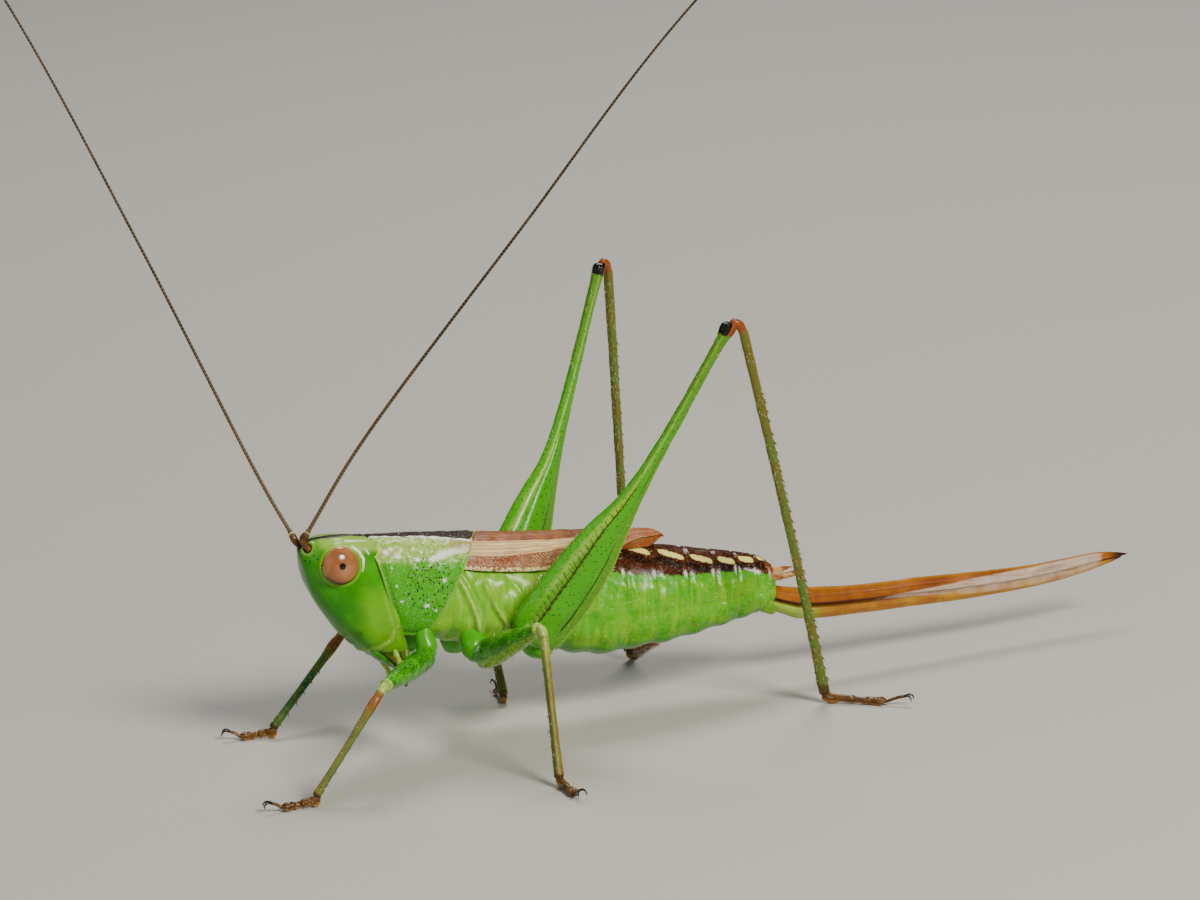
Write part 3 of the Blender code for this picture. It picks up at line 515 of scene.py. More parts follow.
class Finish:
    """A finish that grows layer by layer: a colour, a relief in metres and a gloss."""

    def __init__(self, name, ground, deep, cloud=0.6):
        self.material = bpy.data.materials.new(name)
        self.material.use_nodes = True
        self.tree = self.material.node_tree
        self.shader = self.tree.nodes['Principled BSDF']
        self.object_place = node(self.tree, 'ShaderNodeTexCoord', out='Object')
        self.colour = (*linear(ground), 1.0)
        self.relief = 0.0
        self.rough = None
        self.lay(deep, self.clouds(cloud, 0.35, 0.65, 3.0))

    def clouds(self, size, low, high, detail=2.0, place=None):
        """Soft patches about size millimetres across, from 0 to 1."""
        noise = node(self.tree, 'ShaderNodeTexNoise', {
            'Vector': place or self.object_place, 'Scale': 1 / size if place else 1 / (size * MM),
            'Detail': detail, 'Roughness': 0.55})
        return node(self.tree, 'ShaderNodeMapRange', {
            'Value': noise, 'From Min': low, 'From Max': high}, interpolation_type='SMOOTHSTEP')

    def where(self, name, ragged=0.0, grain=0.2, soft=0.12):
        """Where a painted mask is past a half, with an edge that wanders by ragged."""
        value = node(self.tree, 'ShaderNodeAttribute', out='Fac', attribute_name=name)
        if ragged:
            value = node(self.tree, 'ShaderNodeMath', {
                0: self.clouds(grain, 0.25, 0.75), 1: ragged, 2: value}, operation='MULTIPLY_ADD')
        middle = 0.5 + ragged / 2
        return node(self.tree, 'ShaderNodeMapRange', {
            'Value': value, 'From Min': middle - soft, 'From Max': middle + soft},
            interpolation_type='SMOOTHSTEP')

    def lay(self, code, amount, strength=1.0, within=None, height=0.0):
        """Lay a colour over the surface by an amount, with a relief of height millimetres."""
        if within:
            amount = node(self.tree, 'ShaderNodeMath', {0: amount, 1: self.where(within, soft=0.35)},
                          operation='MULTIPLY')
        if height:
            self.relief = node(self.tree, 'ShaderNodeMath', {0: amount, 1: height * MM, 2: self.relief},
                               operation='MULTIPLY_ADD')
        if strength < 1:
            amount = node(self.tree, 'ShaderNodeMath', {0: amount, 1: strength}, operation='MULTIPLY')
        # sockets 6 and 7 are the two colours
        self.colour = node(self.tree, 'ShaderNodeMix', {
            0: amount, 6: self.colour, 7: (*linear(code), 1.0)}, out=2, data_type='RGBA')

    def stain(self, name, code, strength=1.0, height=0.0, **edge):
        """Colour a masked region, and raise or sink it."""
        self.lay(code, self.where(name, **edge), strength, height=height)

    def mottle(self, code, size, share=0.5, strength=0.5, within=None):
        """Cloudy patches of another tone over about a share of the surface."""
        middle = 0.62 - share * 0.24
        self.lay(code, self.clouds(size, middle - 0.12, middle + 0.12, 3.0), strength, within)

    def dots(self, code, spacing, radius, within=None, on_surface=False, sink=0.0, strength=1.0):
        """Small round dots or pits, placed at random about spacing apart."""
        place = self.object_place
        if on_surface:
            place = node(self.tree, 'ShaderNodeAttribute', out='Vector', attribute_name='place')
        away = node(self.tree, 'ShaderNodeTexVoronoi', {
            'Vector': place, 'Scale': 1 / spacing if on_surface else 1 / (spacing * MM)},
            voronoi_dimensions='2D' if on_surface else '3D')
        edge = radius / spacing
        amount = node(self.tree, 'ShaderNodeMapRange', {
            'Value': away, 'From Min': edge * 1.25, 'From Max': edge * 0.75},
            interpolation_type='SMOOTHSTEP')
        self.lay(code, amount, strength, within, -sink)

    def rings(self, code, pitch, share, slant=0.0, within=None, strength=1.0, height=0.0, wander=0.05):
        """Bands across a limb or a wing, twice pitch apart along its length."""
        place = node(self.tree, 'ShaderNodeAttribute', out='Vector', attribute_name='place')
        split = node(self.tree, 'ShaderNodeSeparateXYZ', {0: place})
        lean = node(self.tree, 'ShaderNodeMath', {0: split.node.outputs[1], 1: slant, 2: split},
                    operation='MULTIPLY_ADD')
        lean = node(self.tree, 'ShaderNodeMath', {0: self.clouds(0.5, 0.2, 0.8), 1: wander, 2: lean},
                    operation='MULTIPLY_ADD')
        phase = node(self.tree, 'ShaderNodeMath', {0: lean, 1: pitch}, operation='PINGPONG')
        amount = node(self.tree, 'ShaderNodeMapRange', {
            'Value': phase, 'From Min': pitch * share, 'From Max': pitch * share * 0.4},
            interpolation_type='SMOOTHSTEP')
        self.lay(code, amount, strength, within, height)

    def streaks(self, code, width, within, strength=0.5, draw=(1.0, 0.16, 1.0)):
        """Soft uneven streaks, drawn out round the body or as draw says."""
        place = node(self.tree, 'ShaderNodeAttribute', out='Vector', attribute_name='place')
        drawn = node(self.tree, 'ShaderNodeVectorMath', {0: place, 1: draw}, operation='MULTIPLY')
        self.lay(code, self.clouds(width, 0.46, 0.66, 2.0, drawn), strength, within)

    def gloss(self, low, high, size=0.3):
        """Let the roughness wander between two values."""
        self.rough = node(self.tree, 'ShaderNodeMapRange', {
            'Value': self.clouds(size, 0.3, 0.7, 3.0), 'To Min': low, 'To Max': high})

    def dull(self, name, rough):
        """Make a masked region rougher than the rest."""
        self.rough = node(self.tree, 'ShaderNodeMix', {0: self.where(name), 2: self.rough, 3: rough})

    def done(self, coat=0.12, coat_rough=0.12, soft=0.12, grain=0.05, grain_height=0.004):
        """Wire the layers to the shader, over a fine grain."""
        self.relief = node(self.tree, 'ShaderNodeMath', {
            0: self.clouds(grain, 0.2, 0.8), 1: grain_height * MM, 2: self.relief},
            operation='MULTIPLY_ADD')
        bump = node(self.tree, 'ShaderNodeBump', {'Height': self.relief, 'Distance': 1.0,
                                                  'Strength': 1.0})
        shader = self.shader.inputs
        self.tree.links.new(self.colour, shader['Base Color'])
        self.tree.links.new(bump, shader['Normal'])
        self.tree.links.new(self.rough, shader['Roughness'])
        shader['IOR'].default_value = 1.54      # chitin is about 1.54 to 1.56
        shader['Specular IOR Level'].default_value = 0.2
        shader['Coat Weight'].default_value = coat
        shader['Coat Roughness'].default_value = coat_rough
        shader['Subsurface Weight'].default_value = soft
        shader['Subsurface Scale'].default_value = 0.25 * MM
        shader['Subsurface Radius'].default_value = (0.7, 1.0, 0.35)
        return self.material


def limb_grid(path, rows, normal, side, columns, ends, turn=0.0, keel=0.0, boxy=1.0):
    """Sections along a path, deep in the leg's own plane; column 0 is the back edge.

    Angles run from the back edge (0) over the outer face to the under edge, and ends are the lengths
    over which each end rounds off. Returns the grid, its shares, its angles, and each point's
    length along the limb and round it.
    """
    path = np.asarray(path, float)
    steps = np.linalg.norm(np.diff(path, axis=0), axis=1)
    length = np.concatenate(([0], np.cumsum(steps)))
    share = length / length[-1]
    heading = np.gradient(path, axis=0)
    heading /= np.linalg.norm(heading, axis=1, keepdims=True)
    deep = np.cross(heading, normal)
    deep /= np.linalg.norm(deep, axis=1, keepdims=True)
    wide = np.cross(heading, deep)
    lean = (turn * (1 - share))[:, None]
    deep, wide = deep * np.cos(lean) + wide * np.sin(lean), wide * np.cos(lean) - deep * np.sin(lean)
    half_deep, half_wide, shift = along(rows, share)
    close = np.ones(len(share))
    for room, away in ((ends[0], length), (ends[1], length[-1] - length)):
        close *= round_off(away, room, 0, 0.0004)
    angle = turns(columns)
    c, s = power(np.cos(angle), boxy), power(np.sin(angle), boxy)
    if keel:
        s = s * np.where(c < 0, 1 - keel * np.abs(c) ** 1.5, 1 - 0.3 * keel * np.abs(c) ** 3)
    centre = path + deep * shift[:, None]
    grid = (centre[:, None] + (half_deep * close)[:, None, None] * c[None, :, None] * deep[:, None]
            - side * (half_wide * close)[:, None, None] * s[None, :, None] * wide[:, None])
    around = angle * ((half_deep + half_wide) / 2)[:, None]
    place = np.stack((np.broadcast_to(length[:, None], around.shape), around,
                      np.zeros_like(around)), -1)
    return grid, share[:, None], angle[None, :], place


def lie_along(grid):
    """The way that hairs lean: along a limb toward its tip."""
    heading = np.gradient(grid.mean(1), axis=0)
    heading /= np.linalg.norm(heading, axis=1, keepdims=True)
    return np.broadcast_to(heading[:, None], grid.shape)


# ---- the surfaces of the body, in body axes ----

def trunk_section(x, angle, scale=1.0):
    """Points of the trunk's outline at station x; angle 0 is the middle of the back."""
    top, bottom, half_width = along(TRUNK, x)
    middle, half = (top + bottom) / 2, (top - bottom) / 2
    y = half_width * power(np.sin(angle), 0.9) * (1 - TRUNK_TAPER * np.cos(angle))
    z = middle + half * power(np.cos(angle), 0.9) * scale
    return points_at(x, y * scale, z)


def seam_at(seam, z):
    """Station of a slanted seam at a height."""
    return seam[0] + seam[1] * z


def eye_reach(x, z):
    """How far a place on the head's side is from the middle of the eye, with 1 at the eye's rim."""
    return np.hypot((x - EYE_CENTRE[0]) / EYE_RADII[0], (z - EYE_CENTRE[2]) / EYE_RADII[2])


def head_shape(rows=170, columns=200):
    """Level slices of the head, from the crown down to the upper lip, with a seat for each eye."""
    share = np.linspace(0, 1, rows)
    z = (0.40 - 3.80 * share ** 2)[:, None]       # close rows over the flat crown
    front, half_width, roundness = along(HEAD, z)
    back = seam_at(HEAD_SEAM, z) + 0.62 - 0.28 * ease(-z, 2.1, 3.0)
    centre = front + (back - front) * 0.58
    turn = np.linspace(0, 2 * pi, 8 * columns, endpoint=False)[None, :]
    c, s = np.cos(turn), np.sin(turn)
    x = np.where(c >= 0, centre - (centre - front) * power(c, 2 / roundness),
                 centre + (back - centre) * np.abs(c) ** 0.45)
    y = np.where(c >= 0, half_width * power(s, 2 / np.maximum(roundness, 1.7)),
                 half_width * power(s, 0.62) * (1 - 0.06 * c * c))
    grid = spaced(points_at(x, y, z), columns)
    tuck = ease(grid[..., 0] - seam_at(HEAD_SEAM, z), 0.06, 0.40)[..., None]
    grid = grid - (grid * (0, 1, 1) - (0, 0, -1.4)) * 0.08 * tuck
    x, y, z = grid[..., 0], np.abs(grid[..., 1]), grid[..., 2]
    seat = EYE_CENTRE[1] - 0.06 - 0.85 * (np.maximum(eye_reach(x, z), 1.0) - 1.0)
    raised = (y + seat + np.sqrt((y - seat) ** 2 + 0.01)) / 2
    grid[..., 1] = np.sign(grid[..., 1]) * np.where(y > 0.05, raised, y)
    return relax(grid, 5)


def head_grid():
    """The head with its relief and markings."""
    grid = head_shape()
    x, y, z = grid[..., 0], np.abs(grid[..., 1]), grid[..., 2]
    eye = np.where(y > 0.45, eye_reach(x, z), 9)
    socket = np.sqrt((x - 0.10) ** 2 + (y - 0.40) ** 2 + (z - 0.02) ** 2)
    cheek = near_line(x, z, CHEEK_EDGE)
    mouth_line = near_line(x, z, MOUTH_EDGE)
    face_edge = np.abs(y - np.interp(z, FACE_HEIGHTS, FACE_EDGE))
    front_side = ease(0.75 - (x - along(HEAD, z)[0]), 0, 0.3)
    relief = (0.030 * hump(eye, 1.06, 0.06) - 0.05 * ease(eye, 0.98, 0.86)
              + 0.050 * hump(socket, 0.21, 0.06) - 0.05 * hump(socket, 0, 0.12)
              + (0.016 * hump(cheek, 0.12, 0.07) - 0.018 * hump(cheek, 0, 0.05)) * ease(-z, 1.0, 1.7)
              + 0.028 * hump(mouth_line, 0, 0.06) - 0.022 * hump(mouth_line, 0.12, 0.06)
              + 0.018 * hump(face_edge, 0, 0.07) * front_side * ease(-z, 0.5, 1.0)
              - 0.030 * hump(z, -3.02, 0.05) * ease(0.62 - y, 0, 0.1) * front_side
              + 0.010 * ripple(grid, 0.8, 3))
    grid = push(grid, relief)
    marks = {
        'stripe': ease(np.interp(x, *CROWN_STRIPE) - y, -0.14, 0.14) * ease(z, 0.0, 0.16)
        + ease(0.22 + 0.5 * z - y, -0.04, 0.04) * ease(0.22 - x, -0.04, 0.04) * ease(z, -0.44, -0.34),
        'pale': ease(z, -0.30, 0.22) * ease(x, 0.10, 0.7),
        # painted shade: deeper green toward the face's front edge
        'face': front_side * ease(np.interp(z, FACE_HEIGHTS, FACE_SHADE) - y, -0.16, 0.16)
        * ease(-z, 0.25, 0.6),
        'cheek': ease(x + 0.33 * z, 0.55, 1.60) * ease(-z, 0.8, 2.0),
        'rim': hump(eye, 1.08, 0.07),
        # a pale streak behind the eye with a painted highlight on it, and a short painted highlight after
        # it
        'painted_gleam': ease(np.interp(z, (-0.72, -0.25, 0.12), (0.012, 0.050, 0.034)) - near_line(x, z, PAINTED_GLEAM_LINE),
                      -0.03, 0.03) * (y > 0.4)
        + ease(0.022 - near_line(x, z, PAINTED_GLEAM_SPARK), -0.03, 0.03) * (y > 0.4),
        'speckle': ease(0.42 - np.hypot(x - 0.20, (z + 0.34) * 0.75), -0.1, 0.1) * (y > 0.3),
        'smudge': hump(np.hypot(x - 1.72, z + 2.78), 0, 0.13) * (y > 0.4),
        'socket': ease(socket, 0.29, 0.24) * ease(socket, 0.13, 0.18),
        'pit': ease(socket, 0.19, 0.13),
        'edge': np.maximum(0.6 * hump(cheek, 0.12, 0.08) * ease(-z, 1.0, 1.7),
                           hump(mouth_line, 0, 0.09)),
    }
    return grid, marks


def eye_grid(side, rows=64, columns=96):
    """An eye as rings round its outward pole."""
    out = np.linspace(0.04, pi - 0.04, rows)[:, None]
    turn = turns(columns)[None, :]
    ball = points_at(np.sin(out) * np.cos(turn), np.cos(out) * side, np.sin(out) * np.sin(turn))
    grid = EYE_CENTRE * (1, side, 1) + ball * EYE_RADII * (1.02, 0.95, 1.02)
    x, z = ball[..., 0], ball[..., 2]
    outer = ball[..., 1] * side > 0
    marks = {
        'pupil': ease(np.hypot(x + 0.08, z - 0.02), 0.23, 0.12) * outer,
        'smudge': hump(np.hypot(x * 0.8 + 0.05, (z - 0.58) * 1.3), 0, 0.22) * outer,
        'crescent': ease(np.hypot(x, z - 0.16), 0.93, 1.07) * ease(-z, 0.3, 0.7) * outer,
        'rim': ease(np.hypot(x, z), 0.90, 0.99),
        'light': hump(np.hypot(x - 0.25, z + 0.35), 0, 0.45) * outer,
    }
    return grid, marks


def collar_grid(rows=110, columns=220):
    """The saddle-shaped plate behind the head, from one lower edge over the back to the other."""
    t = np.linspace(0, 1, rows)[:, None]
    v = np.linspace(-1, 1, columns)[None, :]
    lowest = radians(148) - radians(16) * np.abs(2 * t - 1.0) ** 5
    angle = v * lowest
    (top_a, low_a, half_a), (top_b, low_b, half_b) = along(COLLAR, 2.4), along(COLLAR, 4.9)
    top, bottom, half = (a + (b - a) * t for a, b in ((top_a, top_b), (low_a, low_b), (half_a, half_b)))
    middle, tall = (top + bottom) / 2, (top - bottom) / 2
    y = half * power(np.sin(angle), 0.80) * (1 + 0.10 * np.cos(angle)) * (1 + 0.035 * np.sin(pi * t) ** 2)
    z = middle + tall * power(np.cos(angle), 0.80) * (1 + 0.01 * np.sin(pi * t))
    front, rear = seam_at(HEAD_SEAM, z) + 0.02, seam_at(WING_SEAM, z) + 0.02
    rear = rear + 0.22 * ease(np.abs(y), 1.0, 0.2) * ease(z, -0.1, 0.3)
    x = front + (rear - front) * t
    grid = points_at(x, y, z)
    edge = np.minimum(np.minimum(x - front, rear - x), (1 - np.abs(v)) * 3.4)
    x, y, z = grid[..., 0], np.abs(grid[..., 1]), grid[..., 2]
    groove, groove_rear = near_line(x, z, COLLAR_GROOVE), near_line(x, z, COLLAR_GROOVE_REAR)
    shoulder_sheen = ease(z, -0.75, -0.25) * ease(0.30 - z, -0.04, 0.14)
    wet = ripple(grid, 0.22, 11) * shoulder_sheen
    relief = (0.022 * hump(edge, 0.04, 0.04) - 0.022 * hump(edge, 0.15, 0.07)
              - 0.100 * ease(0.26 - (x - front), 0, 0.26)
              - 0.035 * hump(groove, 0, 0.07) - 0.030 * hump(groove_rear, 0, 0.07)
              + 0.022 * wet + 0.012 * ripple(grid, 0.5, 5)
              + 0.012 * ripple(grid, 0.16, 8) * ease(z, 0.15, 0.32)
              - 0.030 * ease(y, 0.16, 0.0) * ease(z, 0.2, 0.3) + 0.02)
    grid = push(grid, relief, around=False)
    stripe_half = np.interp(x, *COLLAR_STRIPE)
    marks = {
        'stripe': ease(stripe_half - y, -0.03, 0.03) * ease(z, -0.2, 0.0),
        'line': ease(y - stripe_half, -0.03, 0.03) * ease(stripe_half + 0.13 - y, -0.05, 0.09)
        * ease(z, -0.2, 0.0),
        'pale': ease(z, -0.72, -0.05),
        'tan': ease(x, 4.35, 5.1) * ease(z, -0.22, 0.06),
        # a painted white highlight streak on the shoulder
        'shoulder_sheen': ease(near_line(x, z, PAINTED_SHOULDER_GLINT), 0.17, 0.03),
        'punctured': ease(np.hypot((x - 3.95) / 0.80, (z + 1.20) / 1.0), 1.15, 0.8),
        'edge': ease(edge, 0.09, 0.04),
        # painted white glints on the wet-looking swellings
        'painted_glint': np.max([hump(np.hypot(x - a, (z - b) * 1.2), 0, r) for a, b, r in PAINTED_GLINT_SPOTS], axis=0),
    }
    marks['place'] = points_at(x, angle * 1.5, 0)
    return grid, {key: both_sides(np.broadcast_to(mask, x.shape + mask.shape[2:]))
                  for key, mask in marks.items()}


def ring_share(x):
    """How far along its ring of the belly each station is, from 0 to 1, and before the first one 1."""
    edges = np.array(RING_EDGES)
    i = np.clip(np.searchsorted(edges, x, side='right') - 1, 0, len(edges) - 2)
    return np.where(x < edges[0], 1.0, (x - edges[i]) / (edges[i + 1] - edges[i]))


def trunk_shape(rows=300, columns=144):
    """The chest and the ringed belly, from inside the collar to the egg layer.

    Returns the grid, how near each column is to the back and how much it belongs to the back's plates.
    """
    x = np.linspace(2.30, 16.45, rows)[:, None]
    angle = turns(columns)[None, :]
    share = ring_share(x)
    side = np.abs(angle - pi) / pi                  # 1 at the back, 0 at the belly's middle
    upper = ease(side, 0.42, 0.56)
    step = 0.955 + 0.045 * ease(share, 0, 0.22) * (1 - ease(share, 0.94, 1.0) * 0.6)
    scale = np.where(x > RING_EDGES[0], step * upper + (0.985 - 0.02 * np.cos(share * 2 * pi))
                     * (1 - upper), 1.0)
    scale = scale - 0.05 * ease(5.1 - x, 0, 0.5) * hump(side, 0.25, 0.2)
    grid = trunk_section(x, angle, scale)
    grid[..., 0] += 0.10 * (x > RING_EDGES[0]) * (1 - side) * hump(side, 0.3, 0.3)
    return grid, side, upper


def trunk_grid():
    """The trunk with its relief and markings."""
    grid, side, upper = trunk_shape()
    x, y, z = grid[..., 0], np.abs(grid[..., 1]), grid[..., 2]
    chest = ease(8.9 - x, 0, 0.5)
    belly = 1 - chest
    ridge, ridge_rear = near_line(x, z, CHEST_RIDGE), near_line(x, z, CHEST_RIDGE_REAR)
    fold, fold_rear = near_line(x, z, CHEST_FOLD), near_line(x, z, CHEST_FOLD_REAR)
    hem = near_line(x, z, CHEST_HEM)
    pleats = ripple(grid * (1, 0.25, 0.25), 0.13, 2)
    low = ease(-z, 1.15, 1.5) * belly * ease(side, 0.10, 0.30)
    relief = (chest * (0.075 * hump(ridge, 0, 0.09) - 0.055 * hump(ridge, 0.20, 0.09)
                       + 0.070 * hump(ridge_rear, 0, 0.08) - 0.050 * hump(ridge_rear, 0.18, 0.08)
                       - 0.05 * hump(fold, 0, 0.09) - 0.04 * hump(fold_rear, 0, 0.10)
                       + 0.04 * hump(hem, 0, 0.09) + 0.030 * ripple(grid, 0.40, 7))
              + belly * (0.012 * ripple(grid, 0.45, 9) - 0.035 * hump(side, 0.43, 0.02))
              + low * (0.012 * pleats + 0.014 * ripple(grid, 0.35, 4)))
    grid = push(grid, relief)
    share = ring_share(x)
    limit, cream, dark = (np.interp(x, *line) for line in (BACK_EDGE, CREAM_PATCHES, DARK_PATCHES))
    slope = 0.13 * (share - 0.5)
    marks = {
        'back': ease(z - limit, -0.13, 0.13) * belly,
        'cream': ease(np.abs((share - 0.58) / 0.37) ** 3 + np.abs((z - cream + slope) / 0.085) ** 3,
                      1.25, 0.75) * (x > 9) * ease(y, 0.12, 0.24),
        'dark': ease(np.abs((share - 0.46) / 0.44) ** 3 + np.abs((z - dark + slope) / 0.125) ** 3,
                     1.25, 0.75) * (x > 9),
        # painted white glints at the edge of the brown back, the last one a bar on the last ring
        'painted_glint': hump(np.hypot((share - 0.93) * 1.3, (z - limit - 0.04) * 0.75), 0, 0.10) * (x > 9)
        + hump(np.hypot((share - 0.14) * 1.3, (z - limit - 0.02) * 0.9), 0, 0.07) * (x > 9)
        + 0.8 * hump(z - limit, 0.03, 0.05) * ease(x, 15.15, 15.35) * ease(16.05 - x, 0, 0.25),
        'seam': upper * (ease(share, 0.955, 0.99) * (x > 8.5) + ease(share, 0.05, 0.0) * (x > 8.8)),
        # painted shade: deeper green under the belly
        'under': ease(side, 0.24, 0.10) * belly,
        'streak': low,
        'chest': chest,
        # pale chest ridges, partly their own pale colour and partly a painted highlight
        'ridge': np.maximum.reduce([hump(ridge, 0, 0.05), hump(ridge_rear, 0, 0.05) * ease(-z, 1.6, 2.2),
                                    0.7 * hump(hem, 0, 0.05)]) * chest,
        'tail': ease(x, 15.95, 16.3) * ease(z, -1.5, -1.1),
        'hair': belly * (0.25 + 0.75 * ease(x, 14.5, 16.0)),
        'lie': np.broadcast_to(BODY_TURN[:, 0], grid.shape),     # toward the tail
        'place': points_at(x, turns(x.shape[1]) * 1.5, 0),
    }
    return grid, marks


def wing_grid(side, rows=120, columns=90):
    """A wing cover as a sheet from the middle of the back to its lower edge."""
    t = np.linspace(0, 1, rows)[:, None]
    x = WING_START + (WING_TIP - WING_START) * (1 - (1 - t) ** 1.35)
    s = np.linspace(0, 1, columns)[None, :]
    top, bottom, half_width = along(TRUNK, x)
    middle, half = (top + bottom) / 2, (top - bottom) / 2
    lower_edge, = along(WING_EDGE, x)
    share = 0.42 + (s - 0.42) * (0.05 + 0.95 * round_off(x, WING_NARROWS, WING_TIP))
    base = trunk_section(x, np.radians(lower_edge) * share)
    out = points_at(0, base[..., 1] / half_width, (base[..., 2] - middle) / half)
    out = out / np.linalg.norm(out, axis=2, keepdims=True)
    thin = 0.60 + 0.40 * round_off(x, WING_THINS, WING_TIP)
    reach = (0.51 - 0.36 * ease(share, 0.45, 1.0) * ease(11.6 - x, 0, 1.6)) * thin
    field = np.interp(x, *BAND_END)
    fan = [BAND_START + (field - BAND_START) * k for k in VEIN_FAN]
    veins = sum(hump(share, place, 0.011) * 0.014 for place in (*VEINS, *fan))
    net = 0.008 * ripple(base * (1.6, 1, 1), 0.13, 19) * hump(share, 0.76, 0.14)
    tucked = 0.09 * ease(5.95 - x, 0, 0.45) * ease(0.45 - share, 0, 0.2)
    reach = reach + veins + net - tucked + 0.012 * ripple(base, 0.35, 6)
    grid = base + out * reach[..., None]
    fore = seam_at(WING_SEAM, grid[..., 2]) - 0.05
    grid[..., 0] = np.maximum(grid[..., 0], fore)
    overlap = 0.10 if side < 0 else -0.02           # the left cover laps over the right one
    grid[..., 1] = side * (grid[..., 1] - overlap * ease(share, 0.16, 0.0) * ease(x, 5.2, 6.0))
    if side < 0:
        grid[..., 2] += 0.03 * ease(share, 0.14, 0.0)
    x = np.broadcast_to(x, share.shape)
    pale = np.zeros_like(share)
    for k, place in enumerate(fan):
        pale = np.maximum(pale, hump(share, place, 0.012 + 0.010 * (k % 2))
                          * (0.65 + 0.35 * np.sin(x * 2.3 + 2.1 * k) ** 2))
    marks = {
        'cream': pale,
        'band': ease(share, 0.43, 0.50) * ease(field - share, -0.02, 0.03),
        'field': ease(share - field, 0.0, 0.03) * ease(0.93 - share, -0.03, 0.03),
        'hem': 0.62 * ease(share, 0.91, 0.95),
        'dusk': ease(0.38 - share, -0.08, 0.08),
        'tip': ease(x, 9.8, 11.2),
        'net': ease(share - field, 0.0, 0.06) * ease(x, 6.4, 8.0),
        'place': points_at(x, share * 2.6, 0),
    }
    wall = 0.06 + (reach - 0.10) * ease(edge_distance(grid), 0.02, 0.16)
    inner = grid - out * (1, side, 1) * np.clip(wall, 0.05, None)[..., None]
    inner[..., 1] = np.where(side * inner[..., 1] < -0.10, -0.10 * side, inner[..., 1])
    whole = np.concatenate((grid, inner[:, ::-1]), axis=1)
    return whole, {key: both_sides(mask) for key, mask in marks.items()}


def valve_grid(upper, rows=220, columns=36):
    """One long valve of the egg layer."""
    first, last = EGG_LAYER[0][0], EGG_LAYER[-1][0]
    t = np.linspace(0, 1, rows)[:, None]
    x = first + (last - first - (0 if upper else 0.22)) * (1 - (1 - t) ** 1.3)
    top, bottom = along(EGG_LAYER, x)
    seam = top + (bottom - top) * EGG_LAYER_SPLIT
    half_width = np.interp(x, *EGG_LAYER_HALF_WIDTH)
    if upper:
        high, low = top, seam - 0.015
    else:
        high, low = seam + 0.015, bottom
        half_width = half_width * (0.90 + 0.30 * ease(17.6 - x, 0, 1.2))
    close = round_off(x, last - (0.35 if upper else 1.2), last, 0.002)
    if not upper:
        close = np.minimum(close, blunt(t, 14, 0.002))
    angle = turns(columns)[None, :]
    middle, half = (high + low) / 2, (high - low) / 2 * close
    taper = 0.35 if upper else -0.45
    y = half_width * close * power(np.sin(angle), 0.75) * (1 - taper * np.cos(angle))
    z = middle + half * power(np.cos(angle), 0.85)
    grid = points_at(x, y, z)
    level = np.cos(angle) * (1 if upper else -1)    # 1 at the outer edge, -1 at the groove
    ridge = hump(level, 0.15, 0.16) * 0.018 - hump(level, -0.25, 0.16) * 0.018
    grid = push(grid, ridge * ease(x, 17, 18) * ease(29.0 - x, 0, 2) + 0.004 * ripple(grid, 0.4, 3))
    x = grid[..., 0]
    marks = {
        'groove': ease(-level, 0.35, 0.75),
        'ridge': hump(level, 0.15, 0.25),
        'edge': ease(level, 0.55, 0.9),
        'base': ease(18.9 - x, 0, 1.8),
        # a painted silvery highlight on the blade's end half
        'painted_silver_sheen': (ease(-1.05 + 1.9 * ease(x, 18.0, 27.5) - level, -0.15, 0.35) * ease(x, 17.5, 20.5)
                   * ease(28.9 - x, 0, 0.5) * (1.0 if upper else 0.5)),
        'tip': ease(x, 28.75, 29.45),
        'place': points_at(x, level * 0.3, 0),
    }
    return grid, marks


# ---- limbs, feelers and what grows on them ----

def unit(vector):
    """A vector of length 1 the same way."""
    vector = np.asarray(vector, float)
    return vector / np.linalg.norm(vector)


class Leg:
    """Joints and axes of one leg, in the pose."""

    def __init__(self, name):
        self.name = name
        self.pair, side_name = name.split('_')
        self.side = -1 if side_name == 'left' else 1
        self.hip = tipped(HIPS[self.pair] * (1, self.side, 1))
        self.hip_root = tipped(HIP_ROOTS[self.pair] * (1, self.side, 1))
        self.knee, self.ankle = np.array(KNEES[name]), np.array(ANKLES[name])
        self.normal = unit(np.cross(self.knee - self.hip, self.ankle - self.knee))
        across = unit(unit(self.ankle - self.knee) - unit(self.hip - self.knee))
        self.thigh_end = self.knee - across * 0.20
        self.shin_start = self.knee + across * 0.20
        self.shin_heading = unit(self.ankle - self.shin_start)
        self.foot_heading = unit((*FOOT_HEADINGS[name], 0))


